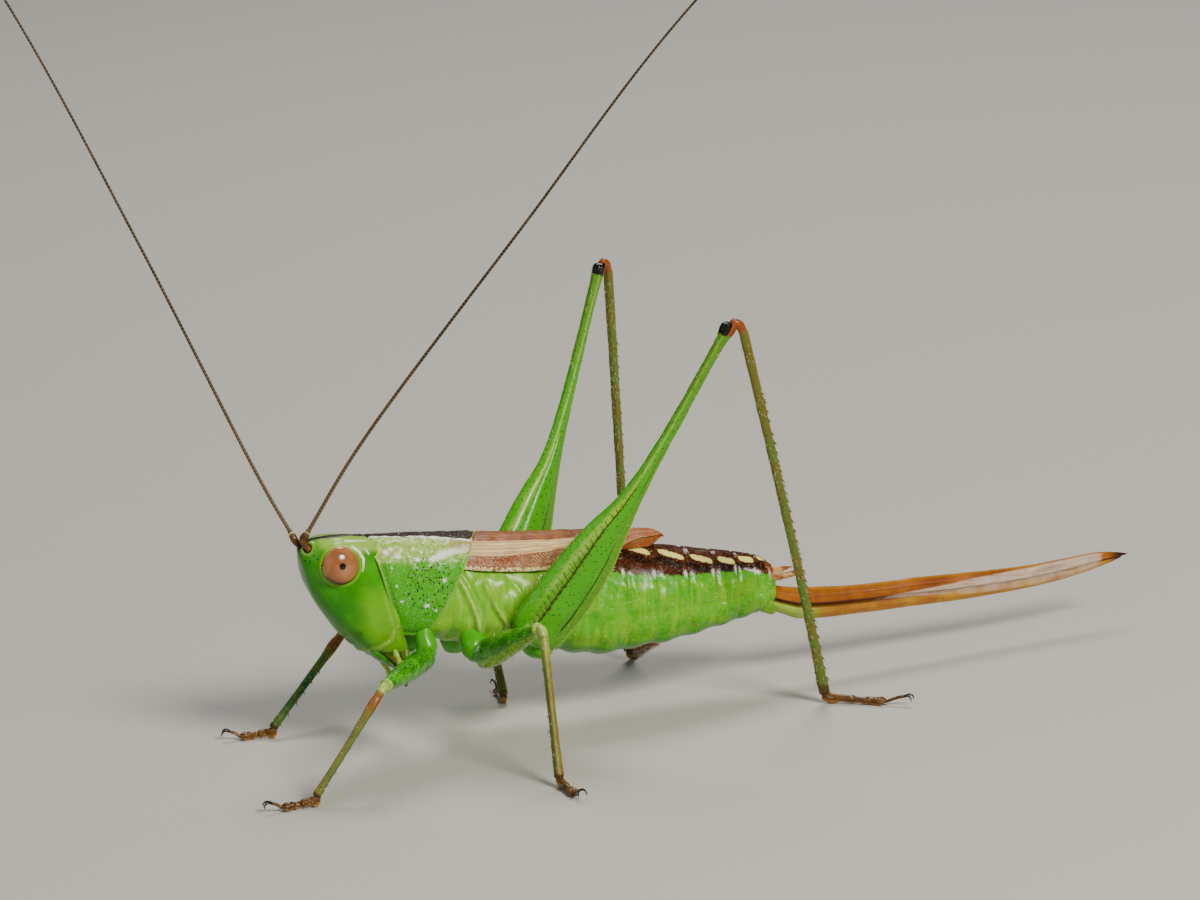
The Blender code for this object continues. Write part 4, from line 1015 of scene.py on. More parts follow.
def leaping_thigh(grid, t, q, outer, place):
    """Relief and markings of a hind thigh: ridges, a brown line, herringbone ticks and a keel."""
    brown_line = 0.37
    green_line = -0.45 - 0.05 * ease(0.15 - t, 0, 0.1) + 0.08 * ease(t, 0.3, 0.65)
    ridge = np.interp(t, (0, 0.25, 0.6, 1), (0.75, 0.70, 0.50, 0.45))
    body = ease(0.62 - t, 0, 0.15)
    swell = (0.030 * hump(q, ridge, 0.14) * ease(t, 0.05, 0.2)
             - 0.035 * hump(q, brown_line, 0.06) * body - 0.040 * hump(q, green_line, 0.05) * body
             + 0.030 * hump(q, -0.92, 0.07) * ease(0.9 - t, 0, 0.2))
    chevron = np.sin((place[..., 0] + 0.45 * place[..., 1]) * 2 * pi / 0.32)
    swell = swell + 0.008 * chevron * ease(q, 0.34, 0.42) * ease(0.80 - q, 0, 0.1) * outer * body
    grid = push(grid, swell * 0.9 + 0.006 * ripple(grid, 0.5, 13))
    return grid, {
        'spine_line': ease(0.036 - np.abs(q - brown_line), -0.02, 0.02) * outer * ease(t, 0.03, 0.05)
        * ease(0.56 - t, 0, 0.08),
        'ticks': ease(q, 0.35, 0.39) * ease(0.74 - q, 0, 0.16) * outer * ease(t, 0.04, 0.08)
        * ease(0.50 - t, 0, 0.05),
        # a pale ridge line that fades into a painted highlight streak
        'ridge': hump(q, ridge, 0.17) * ease(t, 0.10, 0.45) * ease(1.0 - t, 0, 0.1)
        + 0.5 * hump(q, ridge, 0.10) * ease(t, 0.02, 0.2),
        'golden': hump(q, ridge - 0.02, 0.16) * hump(t, 0.44, 0.12) * outer,
        'tan': ease(q, 0.34, 0.42) * ease(0.68 - q, 0, 0.1) * outer * ease(t, 0.03, 0.1)
        * ease(0.42 - t, 0, 0.15),
        'green_line': ease(0.026 - np.abs(q - green_line), -0.015, 0.015) * ease(t, 0.02, 0.04)
        * ease(0.66 - t, 0, 0.06),
        'olive': ease(green_line - q, 0.0, 0.08) * ease(q, -0.90, -0.82) * ease(0.72 - t, 0, 0.1),
        'keel': ease(-q, 0.82, 0.92) * ease(0.8 - t, 0, 0.2),
        'dusk': ease(t, 0.55, 0.95),
        'knee': ease(t, 0.955, 0.975) * ease(q, -0.25, 0.10),
        'knee_side': ease(t, 0.960, 0.978),
        'hair': 0.02 + 0.8 * hump(np.abs(q), 1.0, 0.10) + 0.25 * ease(t, 0.5, 0.7),
    }


def walking_thigh(grid, t, q, outer):
    """Relief and markings of a front or a middle thigh."""
    grid = push(grid, 0.010 * ripple(grid, 0.30, 15) + 0.02 * hump(q, -0.9, 0.1))
    return grid, {
        'under': ease(-q, 0.35, 0.75),
        'root': ease(0.16 - t, 0, 0.1),
        # a painted highlight near the thigh's root
        'painted_gleam': hump(t, 0.13, 0.05) * hump(q, 0.45, 0.3) * outer,
        # a pale knee, partly its own colour and partly a painted highlight
        'knee': ease(t, 0.955, 0.975),
        'hair': 0.05 + 2.2 * ease(-q, 0.84, 0.96) + 0.3 * ease(q, 0.88, 0.97),
    }


def thigh_grid(leg, rows=170, columns=64):
    """A thigh with its keels, knee lobes and markings."""
    hind = leg.pair == 'hind'
    heading = unit(leg.thigh_end - leg.hip)
    start, end = leg.hip - heading * 0.02, leg.thigh_end + heading * 0.10
    path = start + (end - start) * np.linspace(0, 1, rows)[:, None]
    grid, t, a, place = limb_grid(
        path, THIGHS[leg.pair], leg.normal, leg.side, columns, (0.45 if hind else 0.25, 0.16),
        BLADE_TURNS.get(leg.name, 0.0), keel=0.45 if hind else 0.15, boxy=0.92 if hind else 1.0)
    # q runs from 1 at the back edge to -1 at the under edge, and s is 1 on the outer face
    t, q, s = np.broadcast_arrays(t, np.cos(a), np.sin(a))
    outer = ease(s, -0.1, 0.2)
    lobe = hump(np.abs(s), 0.85, 0.45) * ease(q, 0.3, -0.5) * ease(t, 0.975, 1.0)
    grid = grid + heading * (lobe * (0.20 if hind else 0.08))[..., None]
    if hind:
        grid, marks = leaping_thigh(grid, t, q, outer, place)
    else:
        grid, marks = walking_thigh(grid, t, q, outer)
    marks['hair'] = marks['hair'] * (t < 0.97) * (t > 0.05)
    marks['place'] = place
    marks['lie'] = lie_along(grid) * 0.75
    return grid, marks


def shin_grid(leg, rows=190, columns=28):
    """A shin, bent at the knee into the thigh's end."""
    start, on = leg.shin_start, leg.shin_heading
    end = leg.ankle + on * 0.16
    heading = unit(leg.thigh_end - leg.hip)
    joints = (leg.thigh_end + heading * 0.02, (leg.thigh_end + start) / 2 + heading * 0.09,
              start + on * 0.20, start + on * 0.9, start + (end - start) * 0.4,
              start + (end - start) * 0.7, end)
    path = route(joints, 400)
    steps = np.concatenate(([0], np.cumsum(np.linalg.norm(np.diff(path, axis=0), axis=1))))
    even = np.linspace(0, steps[-1], rows)
    path = np.stack([np.interp(even, steps, path[:, k]) for k in range(3)], -1)
    grid, t, a, place = limb_grid(path, SHINS[leg.pair], leg.normal, leg.side, columns, (0.12, 0.10),
                                  boxy=0.85)
    t, q = np.broadcast_arrays(t, np.cos(a))
    grid = push(grid, 0.010 * hump(np.abs(q), 0.75, 0.15) + 0.005 * ripple(grid, 0.4, 17)
                - 0.02 * hump(place[..., 0], 0.52, 0.08) * (q > 0))
    marks = {
        'top': ease((0.060 if leg.pair == 'hind' else 0.10) - t, 0.0, 0.04),
        'upper': ease(0.45 - t, 0, 0.4),
        'ear': hump(t, 0.17, 0.09),
        'ankle': ease(t, 0.955, 0.985),
        'back_edge': ease(q, 0.55, 0.85),
        'hair': (0.4 + 0.6 * ease(-q, 0.3, 0.8)) * (t > 0.06) * (t < 0.97),
        'lie': lie_along(grid) * 0.8,
    }
    return grid, marks, path


def foot_grids(leg):
    """The four joints of a foot, each flat where it meets the floor, and its two claws."""
    length = FOOT_LENGTHS[leg.pair]
    base = leg.ankle * (1, 1, 0)
    up = np.array((0, 0, 1))
    wide = np.cross(up, leg.foot_heading)
    joints, claws = [], []
    for n, (start, end, high_a, high_b, tall, half_a, half_b) in enumerate(FOOT_JOINTS):
        share = np.linspace(0, 1, 34)
        run = (start + (end - start) * share) * length
        last = n == 3
        rise = high_a + (high_b - high_a) * (share ** 1.6 if last else share)
        if last:
            rise = rise - 0.10 * hump(share, 0.35, 0.25)
        path = base + leg.foot_heading * run[:, None] + up * rise[:, None]
        rows = [(t, tall * (1 + 0.12 * cos(6 * t)) if not last else tall,
                 half_a + (half_b - half_a) * t ** 1.5, 0.0) for t in (0.0, 0.25, 0.5, 0.75, 1.0)]
        grid, t, a, _ = limb_grid(path, rows, wide, leg.side, 28, (0.07, 0.10))
        if n in (1, 2):
            notch = hump(t, 1.0, 0.28) * np.abs(np.sin(a)) ** 2
            grid = grid + leg.foot_heading * (notch * (0.12 if n == 2 else 0.07))[..., None]
        if n < 3:
            middle, width, depth = FOOT_PADS[n]
            pad = ease(-np.cos(a), 0.2, 0.8) * hump(t, middle, width)
            grid = grid - up * (pad * depth)[..., None]
        grid[..., 2] = np.maximum(grid[..., 2], 0.004)
        joints.append((grid, {
            'pad': ease(-np.cos(a), 0.25, 0.6) * (n < 3),
            'end': ease(t, 0.8, 1.0),
            'hair': ease(np.cos(a), -0.1, 0.5) * (t > 0.1),
            'lie': lie_along(grid) * 0.7}))
    tip = base + leg.foot_heading * (length * 0.985) + up * 0.345
    for lean in (-1, 1):
        knots = [tip + leg.foot_heading * ahead + wide * (lean * out) + up * rise
                 for ahead, out, rise in CLAW]
        radii = 0.040 * (1 - np.linspace(0, 1, 23) ** 1.5) + 0.004
        claws.append(sweep(route(knots, 22), radii, 12))
    return joints, claws


def feeler_route(side_name):
    """A feeler's path, from the end of its second joint to its tip."""
    root = tipped(FEELER_ROOTS[side_name])
    knots = [root, *map(np.array, FEELER_ROUTES[side_name])]
    return route(knots, 220)


def spine_guides(grid, path, rows):
    """Places, directions and sizes of spines in rows along a shin.

    Each row is first share, last share, step, angle, length and lean toward the foot.
    """
    places, outs, sizes = [], [], []
    draw = np.random.default_rng(31)
    count, columns = grid.shape[:2]
    heading = unit(path[-1] - path[count // 2])
    length = np.linalg.norm(np.diff(path, axis=0), axis=1).sum()
    for first, last, step, angle, size, lean in rows:
        for share in np.arange(first, last, step / length):
            i = int(np.clip((share + draw.uniform(-0.004, 0.004)) * (count - 1), 1, count - 2))
            j = int(round(angle / (2 * pi) * columns)) % columns
            out = unit(grid[i, j] - path[i])
            places.append(grid[i, j] - out * 0.02)
            outs.append(unit(out * (1 - lean) + heading * lean))
            sizes.append(size * draw.uniform(0.85, 1.15))
    return np.array(places), np.array(outs), np.array(sizes)


def new_tree(name, inputs):
    """A geometry tree with a mesh in and out and other named inputs."""
    tree = bpy.data.node_groups.new(name, 'GeometryNodeTree')
    tree.interface.new_socket('Geometry', in_out='INPUT', socket_type='NodeSocketGeometry')
    tree.interface.new_socket('Geometry', in_out='OUTPUT', socket_type='NodeSocketGeometry')
    for key, kind in inputs.items():
        tree.interface.new_socket(key, in_out='INPUT', socket_type='NodeSocket' + kind)
    given = tree.nodes.new('NodeGroupInput')
    return tree, given.outputs


def end_tree(tree, geometry, finish):
    """Make the instances real, smooth them and give them their finish."""
    real = node(tree, 'GeometryNodeRealizeInstances', {0: geometry})
    smooth = node(tree, 'GeometryNodeSetShadeSmooth', {0: real})
    coloured = node(tree, 'GeometryNodeSetMaterial', {0: smooth, 2: finish})
    tree.links.new(coloured, tree.nodes.new('NodeGroupOutput').inputs[0])


def plant(tree, points, shape, away, scale, finish):
    """Stand a shape on each point, along its own direction, and end the tree with them."""
    turn = node(tree, 'FunctionNodeAlignRotationToVector', {'Vector': away}, axis='Z')
    planted = node(tree, 'GeometryNodeInstanceOnPoints', {
        'Points': points, 'Instance': shape, 'Rotation': turn, 'Scale': scale})
    end_tree(tree, planted, finish)


def bristle_tree():
    """Fine hairs scattered over a skin where its hair mask is high, leaning the way its hairs lie."""
    tree, given = new_tree('bristles', {
        'Density': 'Float', 'Length': 'Float', 'Thickness': 'Float', 'Lean': 'Float', 'Seed': 'Int',
        'Finish': 'Material'})
    thick = node(tree, 'GeometryNodeInputNamedAttribute', {0: 'hair'}, data_type='FLOAT')
    density = node(tree, 'ShaderNodeMath', {0: thick, 1: given['Density']}, operation='MULTIPLY')
    points = node(tree, 'GeometryNodeDistributePointsOnFaces', {
        'Mesh': given['Geometry'], 'Density': density, 'Seed': given['Seed']})
    normal = points.node.outputs['Normal']
    lie = node(tree, 'GeometryNodeInputNamedAttribute', {0: 'lie'}, data_type='FLOAT_VECTOR')
    leaning = node(tree, 'ShaderNodeVectorMath', {0: lie, 'Scale': given['Lean']}, operation='SCALE')
    away = node(tree, 'ShaderNodeVectorMath', {0: normal, 1: leaning}, operation='ADD')
    scale = node(tree, 'FunctionNodeRandomValue', {2: 0.65, 3: 1.25, 'Seed': given['Seed']}, out=1)
    hair = node(tree, 'GeometryNodeMeshCone', {'Vertices': 4, 'Radius Bottom': given['Thickness'],
                                               'Depth': given['Length']}, fill_type='NONE')
    plant(tree, points, hair, away, scale, given['Finish'])
    return tree


def spine_tree():
    """A stout spine at each guide point, along its direction."""
    tree, given = new_tree('spines', {'Length': 'Float', 'Thickness': 'Float', 'Finish': 'Material'})
    points = node(tree, 'GeometryNodeMeshToPoints', {'Mesh': given['Geometry']})
    away = node(tree, 'GeometryNodeInputNamedAttribute', {0: 'out'}, data_type='FLOAT_VECTOR')
    scale = node(tree, 'GeometryNodeInputNamedAttribute', {0: 'size'}, data_type='FLOAT')
    spine = node(tree, 'GeometryNodeMeshCone', {'Vertices': 7, 'Radius Bottom': given['Thickness'],
                                                'Depth': given['Length']}, fill_type='NGON')
    plant(tree, points, spine, away, scale, given['Finish'])
    return tree


def thread_tree():
    """A thread of many short rings along a path, thinner toward its tip."""
    tree, given = new_tree('ringed thread', {
        'Rings': 'Int', 'Root Radius': 'Float', 'Tip Radius': 'Float', 'Ring Depth': 'Float',
        'Finish': 'Material'})
    line = node(tree, 'GeometryNodeMeshToCurve', {'Mesh': given['Geometry']})
    count = node(tree, 'ShaderNodeMath', {0: given['Rings'], 1: STEPS_A_RING, 2: 1.0},
                 operation='MULTIPLY_ADD')
    line = node(tree, 'GeometryNodeResampleCurve', {'Curve': line, 'Count': count})
    share = node(tree, 'GeometryNodeSplineParameter')
    index = share.node.outputs['Index']
    length = share.node.outputs['Length']
    quick = node(tree, 'ShaderNodeMath', {0: share, 1: 0.55}, operation='POWER')
    radius = node(tree, 'ShaderNodeMapRange', {'Value': quick, 'To Min': given['Root Radius'],
                                               'To Max': given['Tip Radius']})
    phase = node(tree, 'ShaderNodeMath', {0: index, 1: STEPS_A_RING}, operation='MODULO')
    waist = node(tree, 'ShaderNodeMath', {0: phase, 1: 0.5}, operation='LESS_THAN')
    pinch = node(tree, 'ShaderNodeMath', {0: waist, 1: given['Ring Depth']}, operation='MULTIPLY')
    keep = node(tree, 'ShaderNodeMath', {0: 1.0, 1: pinch}, operation='SUBTRACT')
    radius = node(tree, 'ShaderNodeMath', {0: radius, 1: keep}, operation='MULTIPLY')
    place = node(tree, 'ShaderNodeMath', {0: length, 1: 1 / MM}, operation='MULTIPLY')
    line = node(tree, 'GeometryNodeStoreNamedAttribute', {
        'Geometry': line, 'Name': 'along', 'Value': place}, data_type='FLOAT', domain='POINT')
    ring = node(tree, 'GeometryNodeCurvePrimitiveCircle', {'Resolution': 8, 'Radius': 1.0})
    tube = node(tree, 'GeometryNodeCurveToMesh', {'Curve': line, 'Profile Curve': ring, 'Scale': radius,
                                                  'Fill Caps': True})
    end_tree(tree, tube, given['Finish'])
    return tree


def grown(name, base, tree, **inputs):
    """Grow a tree on a mesh and return the result as a plain mesh object."""
    carrier = bpy.data.objects.new(name + '_base', base)
    bpy.context.scene.collection.objects.link(carrier)
    grower = carrier.modifiers.new('grow', 'NODES')
    grower.node_group = tree
    names = {item.name: item.identifier for item in tree.interface.items_tree if item.in_out == 'INPUT'}
    for key, value in inputs.items():
        grower[names[key.replace('_', ' ')]] = value
    bpy.context.view_layer.update()
    shown = carrier.evaluated_get(bpy.context.evaluated_depsgraph_get())
    mesh = bpy.data.meshes.new_from_object(shown)
    mesh.name = name
    carrier.modifiers.clear()
    bpy.data.objects.remove(carrier)
    piece = bpy.data.objects.new(name, mesh)
    bpy.context.scene.collection.objects.link(piece)
    return piece


def guide_mesh(name, points, edges=(), **attributes):
    """A mesh of loose points or of a line, with the attributes that a tree reads."""
    mesh = bpy.data.meshes.new(name)
    mesh.from_pydata(placed(points).tolist(), list(edges), [])
    for key, values in attributes.items():
        values = np.asarray(values, float)
        vector = values.ndim == 2
        store = mesh.attributes.new(key, 'FLOAT_VECTOR' if vector else 'FLOAT', 'POINT')
        store.data.foreach_set('vector' if vector else 'value', values.ravel())
    return mesh


# ---- finishes ----

def head_finish(c):
    """Smooth waxy cuticle of the head: clear green, with a brown stripe over the crown, painted shade
    toward the face's front, and a pale streak behind the eye that carries a painted highlight.
    """
    cuticle = Finish('waxy head cuticle', c.leaf_green, c.deep_green_and_painted_shade, cloud=1.4)
    # painted shade toward the face's front
    cuticle.stain('face', c.deep_green_and_painted_shade, 0.85, soft=0.45)
    cuticle.stain('cheek', c.yellow_green, 0.38, soft=0.48)
    cuticle.stain('pale', c.pale_green, 0.75, soft=0.35)
    cuticle.stain('edge', c.pale_green, 0.35, ragged=0.3, grain=0.12, soft=0.4)
    cuticle.stain('rim', c.yellow_green, 0.55, soft=0.3)
    cuticle.stain('smudge', c.bark_brown, 0.45, ragged=0.4, grain=0.06, soft=0.3)
    cuticle.dots(c.dot_dark, 0.17, 0.030, within='speckle', sink=0.006)
    cuticle.dots(c.pale_cream, 0.13, 0.022, within='edge', strength=0.8)
    cuticle.stain('socket', c.pale_green, 0.35, soft=0.3)
    cuticle.stain('pit', c.stripe_brown, 0.9, soft=0.3)
    cuticle.stain('stripe', c.stripe_brown, ragged=0.06, grain=0.08, soft=0.08)
    # pale streak behind the eye that carries a painted highlight
    cuticle.stain('painted_gleam', c.white_and_painted_glint, 0.85, soft=0.35, height=0.004)
    cuticle.gloss(0.17, 0.28, 0.5)
    return cuticle.done(coat=0.15, coat_rough=0.06, soft=0.12, grain_height=0.0012)


def eye_finish(c):
    """Eye of very fine facets under a clear lens: salmon brown, with a dark false pupil.

    Real facets are about 0.02 mm across; here they are drawn at 0.035 mm so that they show.
    """
    eye = Finish('faceted eye', c.eye_salmon, c.eye_brown, cloud=0.5)
    eye.stain('light', c.eye_light, 0.35, soft=0.4)
    eye.stain('smudge', c.bark_brown, 0.5, soft=0.45)
    eye.stain('rim', c.eye_light, 0.6, soft=0.35)
    eye.stain('crescent', c.stripe_brown, 0.8, soft=0.4)
    eye.stain('pupil', c.black, soft=0.3)
    facets = node(eye.tree, 'ShaderNodeTexVoronoi', {
        'Vector': eye.object_place, 'Scale': 1 / (0.035 * MM), 'Randomness': 0.35})
    eye.relief = node(eye.tree, 'ShaderNodeMath', {0: facets, 1: -0.002 * MM}, operation='MULTIPLY')
    eye.gloss(0.16, 0.22, 0.3)
    return eye.done(coat=0.5, coat_rough=0.05, soft=0.18, grain_height=0.0003)


def collar_finish(c):
    """Pitted cuticle of the collar: a granular brown stripe between white lines, over wet green, with
    painted white glints and a painted highlight streak on the shoulder.
    """
    collar = Finish('pitted collar cuticle', c.leaf_green, c.belly_green, cloud=0.7)
    collar.stain('pale', c.pale_green, 0.7, ragged=0.45, grain=0.3, soft=0.45)
    collar.mottle(c.pale_cream, 0.13, 0.35, 0.45, within='pale')
    collar.dots(c.dot_dark, 0.155, 0.025, within='punctured', on_surface=True, sink=0.010)
    collar.dots(c.deep_green_and_painted_shade, 0.21, 0.026, on_surface=True, sink=0.008, strength=0.7)
    # painted highlight streak on the shoulder
    collar.stain('shoulder_sheen', c.white_and_painted_glint, 0.8, ragged=0.9, grain=0.045, soft=0.28, height=0.006)
    collar.stain('tan', c.wing_tan, 0.5, ragged=0.5, grain=0.15, soft=0.45)
    collar.stain('line', c.white_and_painted_glint, 0.8, ragged=0.5, grain=0.08, soft=0.4)
    collar.stain('stripe', c.stripe_brown, ragged=0.18, grain=0.07, soft=0.08)
    # painted white sparkles on the stripe
    collar.dots(c.white_and_painted_glint, 0.24, 0.016, within='stripe', on_surface=True, strength=0.6)
    collar.dots(c.bark_brown, 0.11, 0.030, within='stripe', sink=0.008, strength=0.6)
    collar.stain('edge', c.pale_green, 0.45, ragged=0.5, grain=0.10, soft=0.3)
    # painted white glints
    collar.stain('painted_glint', c.white_and_painted_glint, 0.85, ragged=0.7, grain=0.045, soft=0.30, height=0.010)
    collar.gloss(0.13, 0.26, 0.3)
    collar.dull('stripe', 0.6)
    return collar.done(coat=0.05, coat_rough=0.12, soft=0.10, grain=0.07, grain_height=0.006)


def trunk_finish(c):
    """Soft glossy cuticle of the chest and belly: green sides, painted shade under the belly, and a back
    banded brown and cream with painted white glints at its edge.
    """
    trunk = Finish('banded belly cuticle', c.leaf_green, c.belly_green, cloud=0.6)
    trunk.stain('chest', c.chest_green, 0.85, soft=0.45)
    trunk.mottle(c.yellow_green, 0.7, 0.5, 0.45, within='chest')
    trunk.streaks(c.yellow_green, 0.26, within='streak', strength=0.6)
    trunk.mottle(c.yellow_green, 0.5, 0.5, 0.4, within='streak')
    # painted white sparkles on the belly's streaks
    trunk.dots(c.white_and_painted_glint, 0.26, 0.018, within='streak', strength=0.55)
    trunk.streaks(c.pale_green, 0.16, within='chest', strength=0.5)
    # pale chest ridges, partly their own colour and partly a painted highlight
    trunk.stain('ridge', c.pale_cream, 0.35, ragged=0.6, grain=0.12, soft=0.48)
    # painted shade under the belly
    trunk.stain('under', c.deep_green_and_painted_shade, 0.7, soft=0.4)
    trunk.stain('back', c.belly_brown, ragged=0.6, grain=0.13, soft=0.28)
    trunk.mottle(c.wing_brown, 0.30, 0.35, 0.25, within='back')
    trunk.stain('dark', c.stripe_brown, 0.95, ragged=0.4, grain=0.10, soft=0.42)
    trunk.stain('cream', c.patch_cream, 0.95, ragged=0.35, grain=0.10, soft=0.46)
    trunk.stain('seam', c.stripe_brown, 0.35, soft=0.3)
    trunk.stain('tail', c.egg_brown, 0.8, ragged=0.4, grain=0.2, soft=0.3)
    # painted white glints at the edge of the brown back
    trunk.stain('painted_glint', c.white_and_painted_glint, 0.6, ragged=0.6, grain=0.05, soft=0.4, height=0.01)
    trunk.gloss(0.16, 0.30, 0.3)
    return trunk.done(coat=0.10, coat_rough=0.12, soft=0.12, grain=0.06, grain_height=0.004)


def wing_finish(c):
    """Leathery wing cover: tan with cream veins above, red-brown with a pale net below."""
    wing = Finish('veined leathery wing', c.wing_tan, c.wing_brown, cloud=0.35)
    wing.stain('dusk', c.wing_brown, 0.45, ragged=0.4, grain=0.2, soft=0.4)
    wing.stain('field', c.wing_red, 0.95, ragged=0.25, grain=0.15, soft=0.2)
    wing.stain('band', c.cream, 0.40, ragged=0.4, grain=0.2, soft=0.35)
    wing.mottle(c.stripe_brown, 0.14, 0.4, 0.35, within='field')
    wing.mottle(c.egg_orange, 0.09, 0.45, 0.45, within='field')
    wing.mottle(c.cream, 0.045, 0.12, 0.45, within='field')
    wing.rings(c.cream, 0.070, 0.24, slant=-1.1, within='net', strength=0.6, height=0.006, wander=0.10)
    wing.mottle(c.wing_brown, 0.12, 0.35, 0.6, within='net')
    wing.stain('cream', c.cream, 0.8, ragged=0.35, grain=0.10, soft=0.3, height=0.004)
    wing.stain('hem', c.wing_brown, 0.8)
    wing.stain('hem', c.pale_cream, 0.7, ragged=0.9, grain=0.12, soft=0.2)
    wing.stain('tip', c.wing_tip, 0.75, soft=0.45)
    wing.dots(c.cream, 0.09, 0.018, within='tip', strength=0.6)
    wing.gloss(0.28, 0.45, 0.15)
    return wing.done(coat=0.05, coat_rough=0.2, soft=0.04, grain=0.05, grain_height=0.007)


def egg_layer_finish(c, upper):
    """Polished hard blade: orange brown above, golden below, with a painted silvery highlight toward its
    end.
    """
    tones = (c.egg_orange, c.egg_brown) if upper else (c.egg_gold, c.egg_orange)
    blade = Finish('polished egg layer' if upper else 'polished golden egg layer', *tones, cloud=1.2)
    if not upper:
        blade.stain('base', c.yellow_green, 0.8, ragged=0.4, grain=0.5, soft=0.45)
        blade.stain('base', c.pale_green, 0.5, ragged=0.4, grain=0.3, soft=0.3)
    blade.stain('edge', c.egg_gold, 0.4, soft=0.4)
    blade.stain('groove', c.egg_dark, 0.85, soft=0.3)
    # painted silvery highlight toward the blade's end
    blade.stain('painted_silver_sheen', c.egg_painted_sheen, 0.85, ragged=0.3, grain=0.5, soft=0.35)
    blade.streaks(c.egg_brown, 0.05, within='painted_silver_sheen', strength=0.45, draw=(0.05, 1.0, 1.0))
    blade.streaks(c.egg_dark, 0.06, within='ridge', strength=0.35, draw=(0.05, 1.0, 1.0))
    blade.stain('tip', c.stripe_brown, 0.95, soft=0.48)
    blade.mottle(c.egg_dark, 0.5, 0.3, 0.2)
    blade.gloss(0.18, 0.30, 0.6)
    return blade.done(coat=0.3, coat_rough=0.08, soft=0.05, grain=0.08, grain_height=0.002)


def hind_thigh_finish(c):
    """Leaping thigh: bright green with dark dots, a herringbone row, a golden keel, and a pale ridge line
    that fades into a painted highlight.
    """
    thigh = Finish('herringbone thigh cuticle', c.leg_green, c.leaf_green, cloud=1.0)
    thigh.stain('olive', c.olive_green, 0.75, soft=0.2)
    thigh.stain('keel', c.yellow_green, 0.9, soft=0.3)
    thigh.stain('tan', c.olive_green, 0.6, ragged=0.3, grain=0.2, soft=0.4)
    # pale ridge line that fades into a painted highlight streak
    thigh.stain('ridge', c.pale_green, 0.6, ragged=0.45, grain=0.25, soft=0.45)
    thigh.stain('golden', c.yellow_green, 0.8, ragged=0.45, grain=0.15, soft=0.4)
    thigh.stain('dusk', c.shin_olive, 0.35, soft=0.5)
    thigh.dots(c.dot_green, 0.20, 0.020, on_surface=True, sink=0.005, strength=0.95)
    thigh.rings(c.spine_brown, 0.110, 0.20, slant=0.67, within='ticks', strength=0.85, wander=0.08)
    thigh.stain('green_line', c.dot_green, 0.95, soft=0.25)
    thigh.stain('spine_line', c.spine_brown, 0.9, ragged=0.6, grain=0.10, soft=0.25)
    thigh.stain('knee_side', c.knee_red, 0.95, ragged=0.3, grain=0.15, soft=0.3)
    thigh.stain('knee', c.black, ragged=0.2, grain=0.1, soft=0.2)
    thigh.gloss(0.20, 0.34, 0.4)
    return thigh.done(coat=0.15, coat_rough=0.12, soft=0.12, grain=0.05, grain_height=0.003)


def thigh_finish(c):
    """Fore and middle thighs: glossy green, peppered with dark green dots, with painted white sparkles, a
    painted highlight near the root and a pale knee that carries a painted highlight.
    """
    thigh = Finish('peppered thigh cuticle', c.leg_green, c.deep_green_and_painted_shade, cloud=0.5)
    thigh.stain('root', c.leaf_green, 0.7, soft=0.4)
    thigh.stain('under', c.yellow_green, 0.75, ragged=0.3, grain=0.2, soft=0.35)
    thigh.dots(c.dot_green, 0.125, 0.024, on_surface=True, sink=0.006)
    # painted white sparkles
    thigh.dots(c.white_and_painted_glint, 0.20, 0.016, strength=0.5)
    # painted highlight near the root
    thigh.stain('painted_gleam', c.white_and_painted_glint, 0.55, ragged=0.5, grain=0.15, soft=0.3)
    # pale knee that also carries a painted highlight
    thigh.stain('knee', c.pale_green, 0.7, ragged=0.3, grain=0.1, soft=0.3)
    thigh.gloss(0.15, 0.28, 0.3)
    return thigh.done(coat=0.2, coat_rough=0.08, soft=0.12, grain=0.05, grain_height=0.004)


def shin_finish(c, pair):
    """Shins: olive green cuticle, orange brown near the knee, finely dotted."""
    shin = Finish(pair + ' shin cuticle', c.shin_teal if pair == 'front' else c.shin_olive, c.shin_green)
    upper = {'front': c.foot_tan, 'middle': c.pale_green, 'hind': c.shin_olive}[pair]
    shin.stain('upper', upper, 0.5, ragged=0.3, grain=0.4, soft=0.4)
    if pair == 'front':
        shin.stain('ear', c.wing_brown, 0.75, ragged=0.3, grain=0.2, soft=0.35)
    shin.stain('back_edge', c.foot_tan, 0.25, ragged=0.4, grain=0.3, soft=0.4)
    shin.dots(c.bark_brown, 0.16, 0.030, strength=0.75)
    shin.dots(c.pale_cream, 0.22, 0.016, strength=0.35)
    top = c.knee_red if pair == 'hind' else c.pale_green
    shin.stain('top', top, 0.85, ragged=0.2, grain=0.1, soft=0.3)
    shin.stain('ankle', c.bark_brown, 0.85, soft=0.3)
    shin.gloss(0.22, 0.38, 0.3)
    return shin.done(coat=0.12, coat_rough=0.12, soft=0.08, grain=0.05, grain_height=0.005)


def foot_finish(c):
    """Feet: glossy brown cuticle with paler soft pads."""
    foot = Finish('glossy foot cuticle', c.foot_brown, c.bark_brown, cloud=0.25)
    foot.stain('pad', c.foot_tan, 0.7, ragged=0.3, grain=0.1, soft=0.3)
    foot.stain('end', c.bark_brown, 0.6, ragged=0.3, grain=0.1, soft=0.35)
    foot.dots(c.pale_cream, 0.14, 0.02, strength=0.5)
    foot.gloss(0.14, 0.28, 0.15)
    return foot.done(coat=0.25, coat_rough=0.08, soft=0.06, grain=0.05, grain_height=0.006)


def plain_finish(name, ground, deep, cloud=0.25, rough=(0.3, 0.45), **rest):
    """A small hard or soft part in two close tones."""
    part = Finish(name, ground, deep, cloud=cloud)
    part.gloss(rough[0], rough[1], cloud)
    return part.done(**rest)


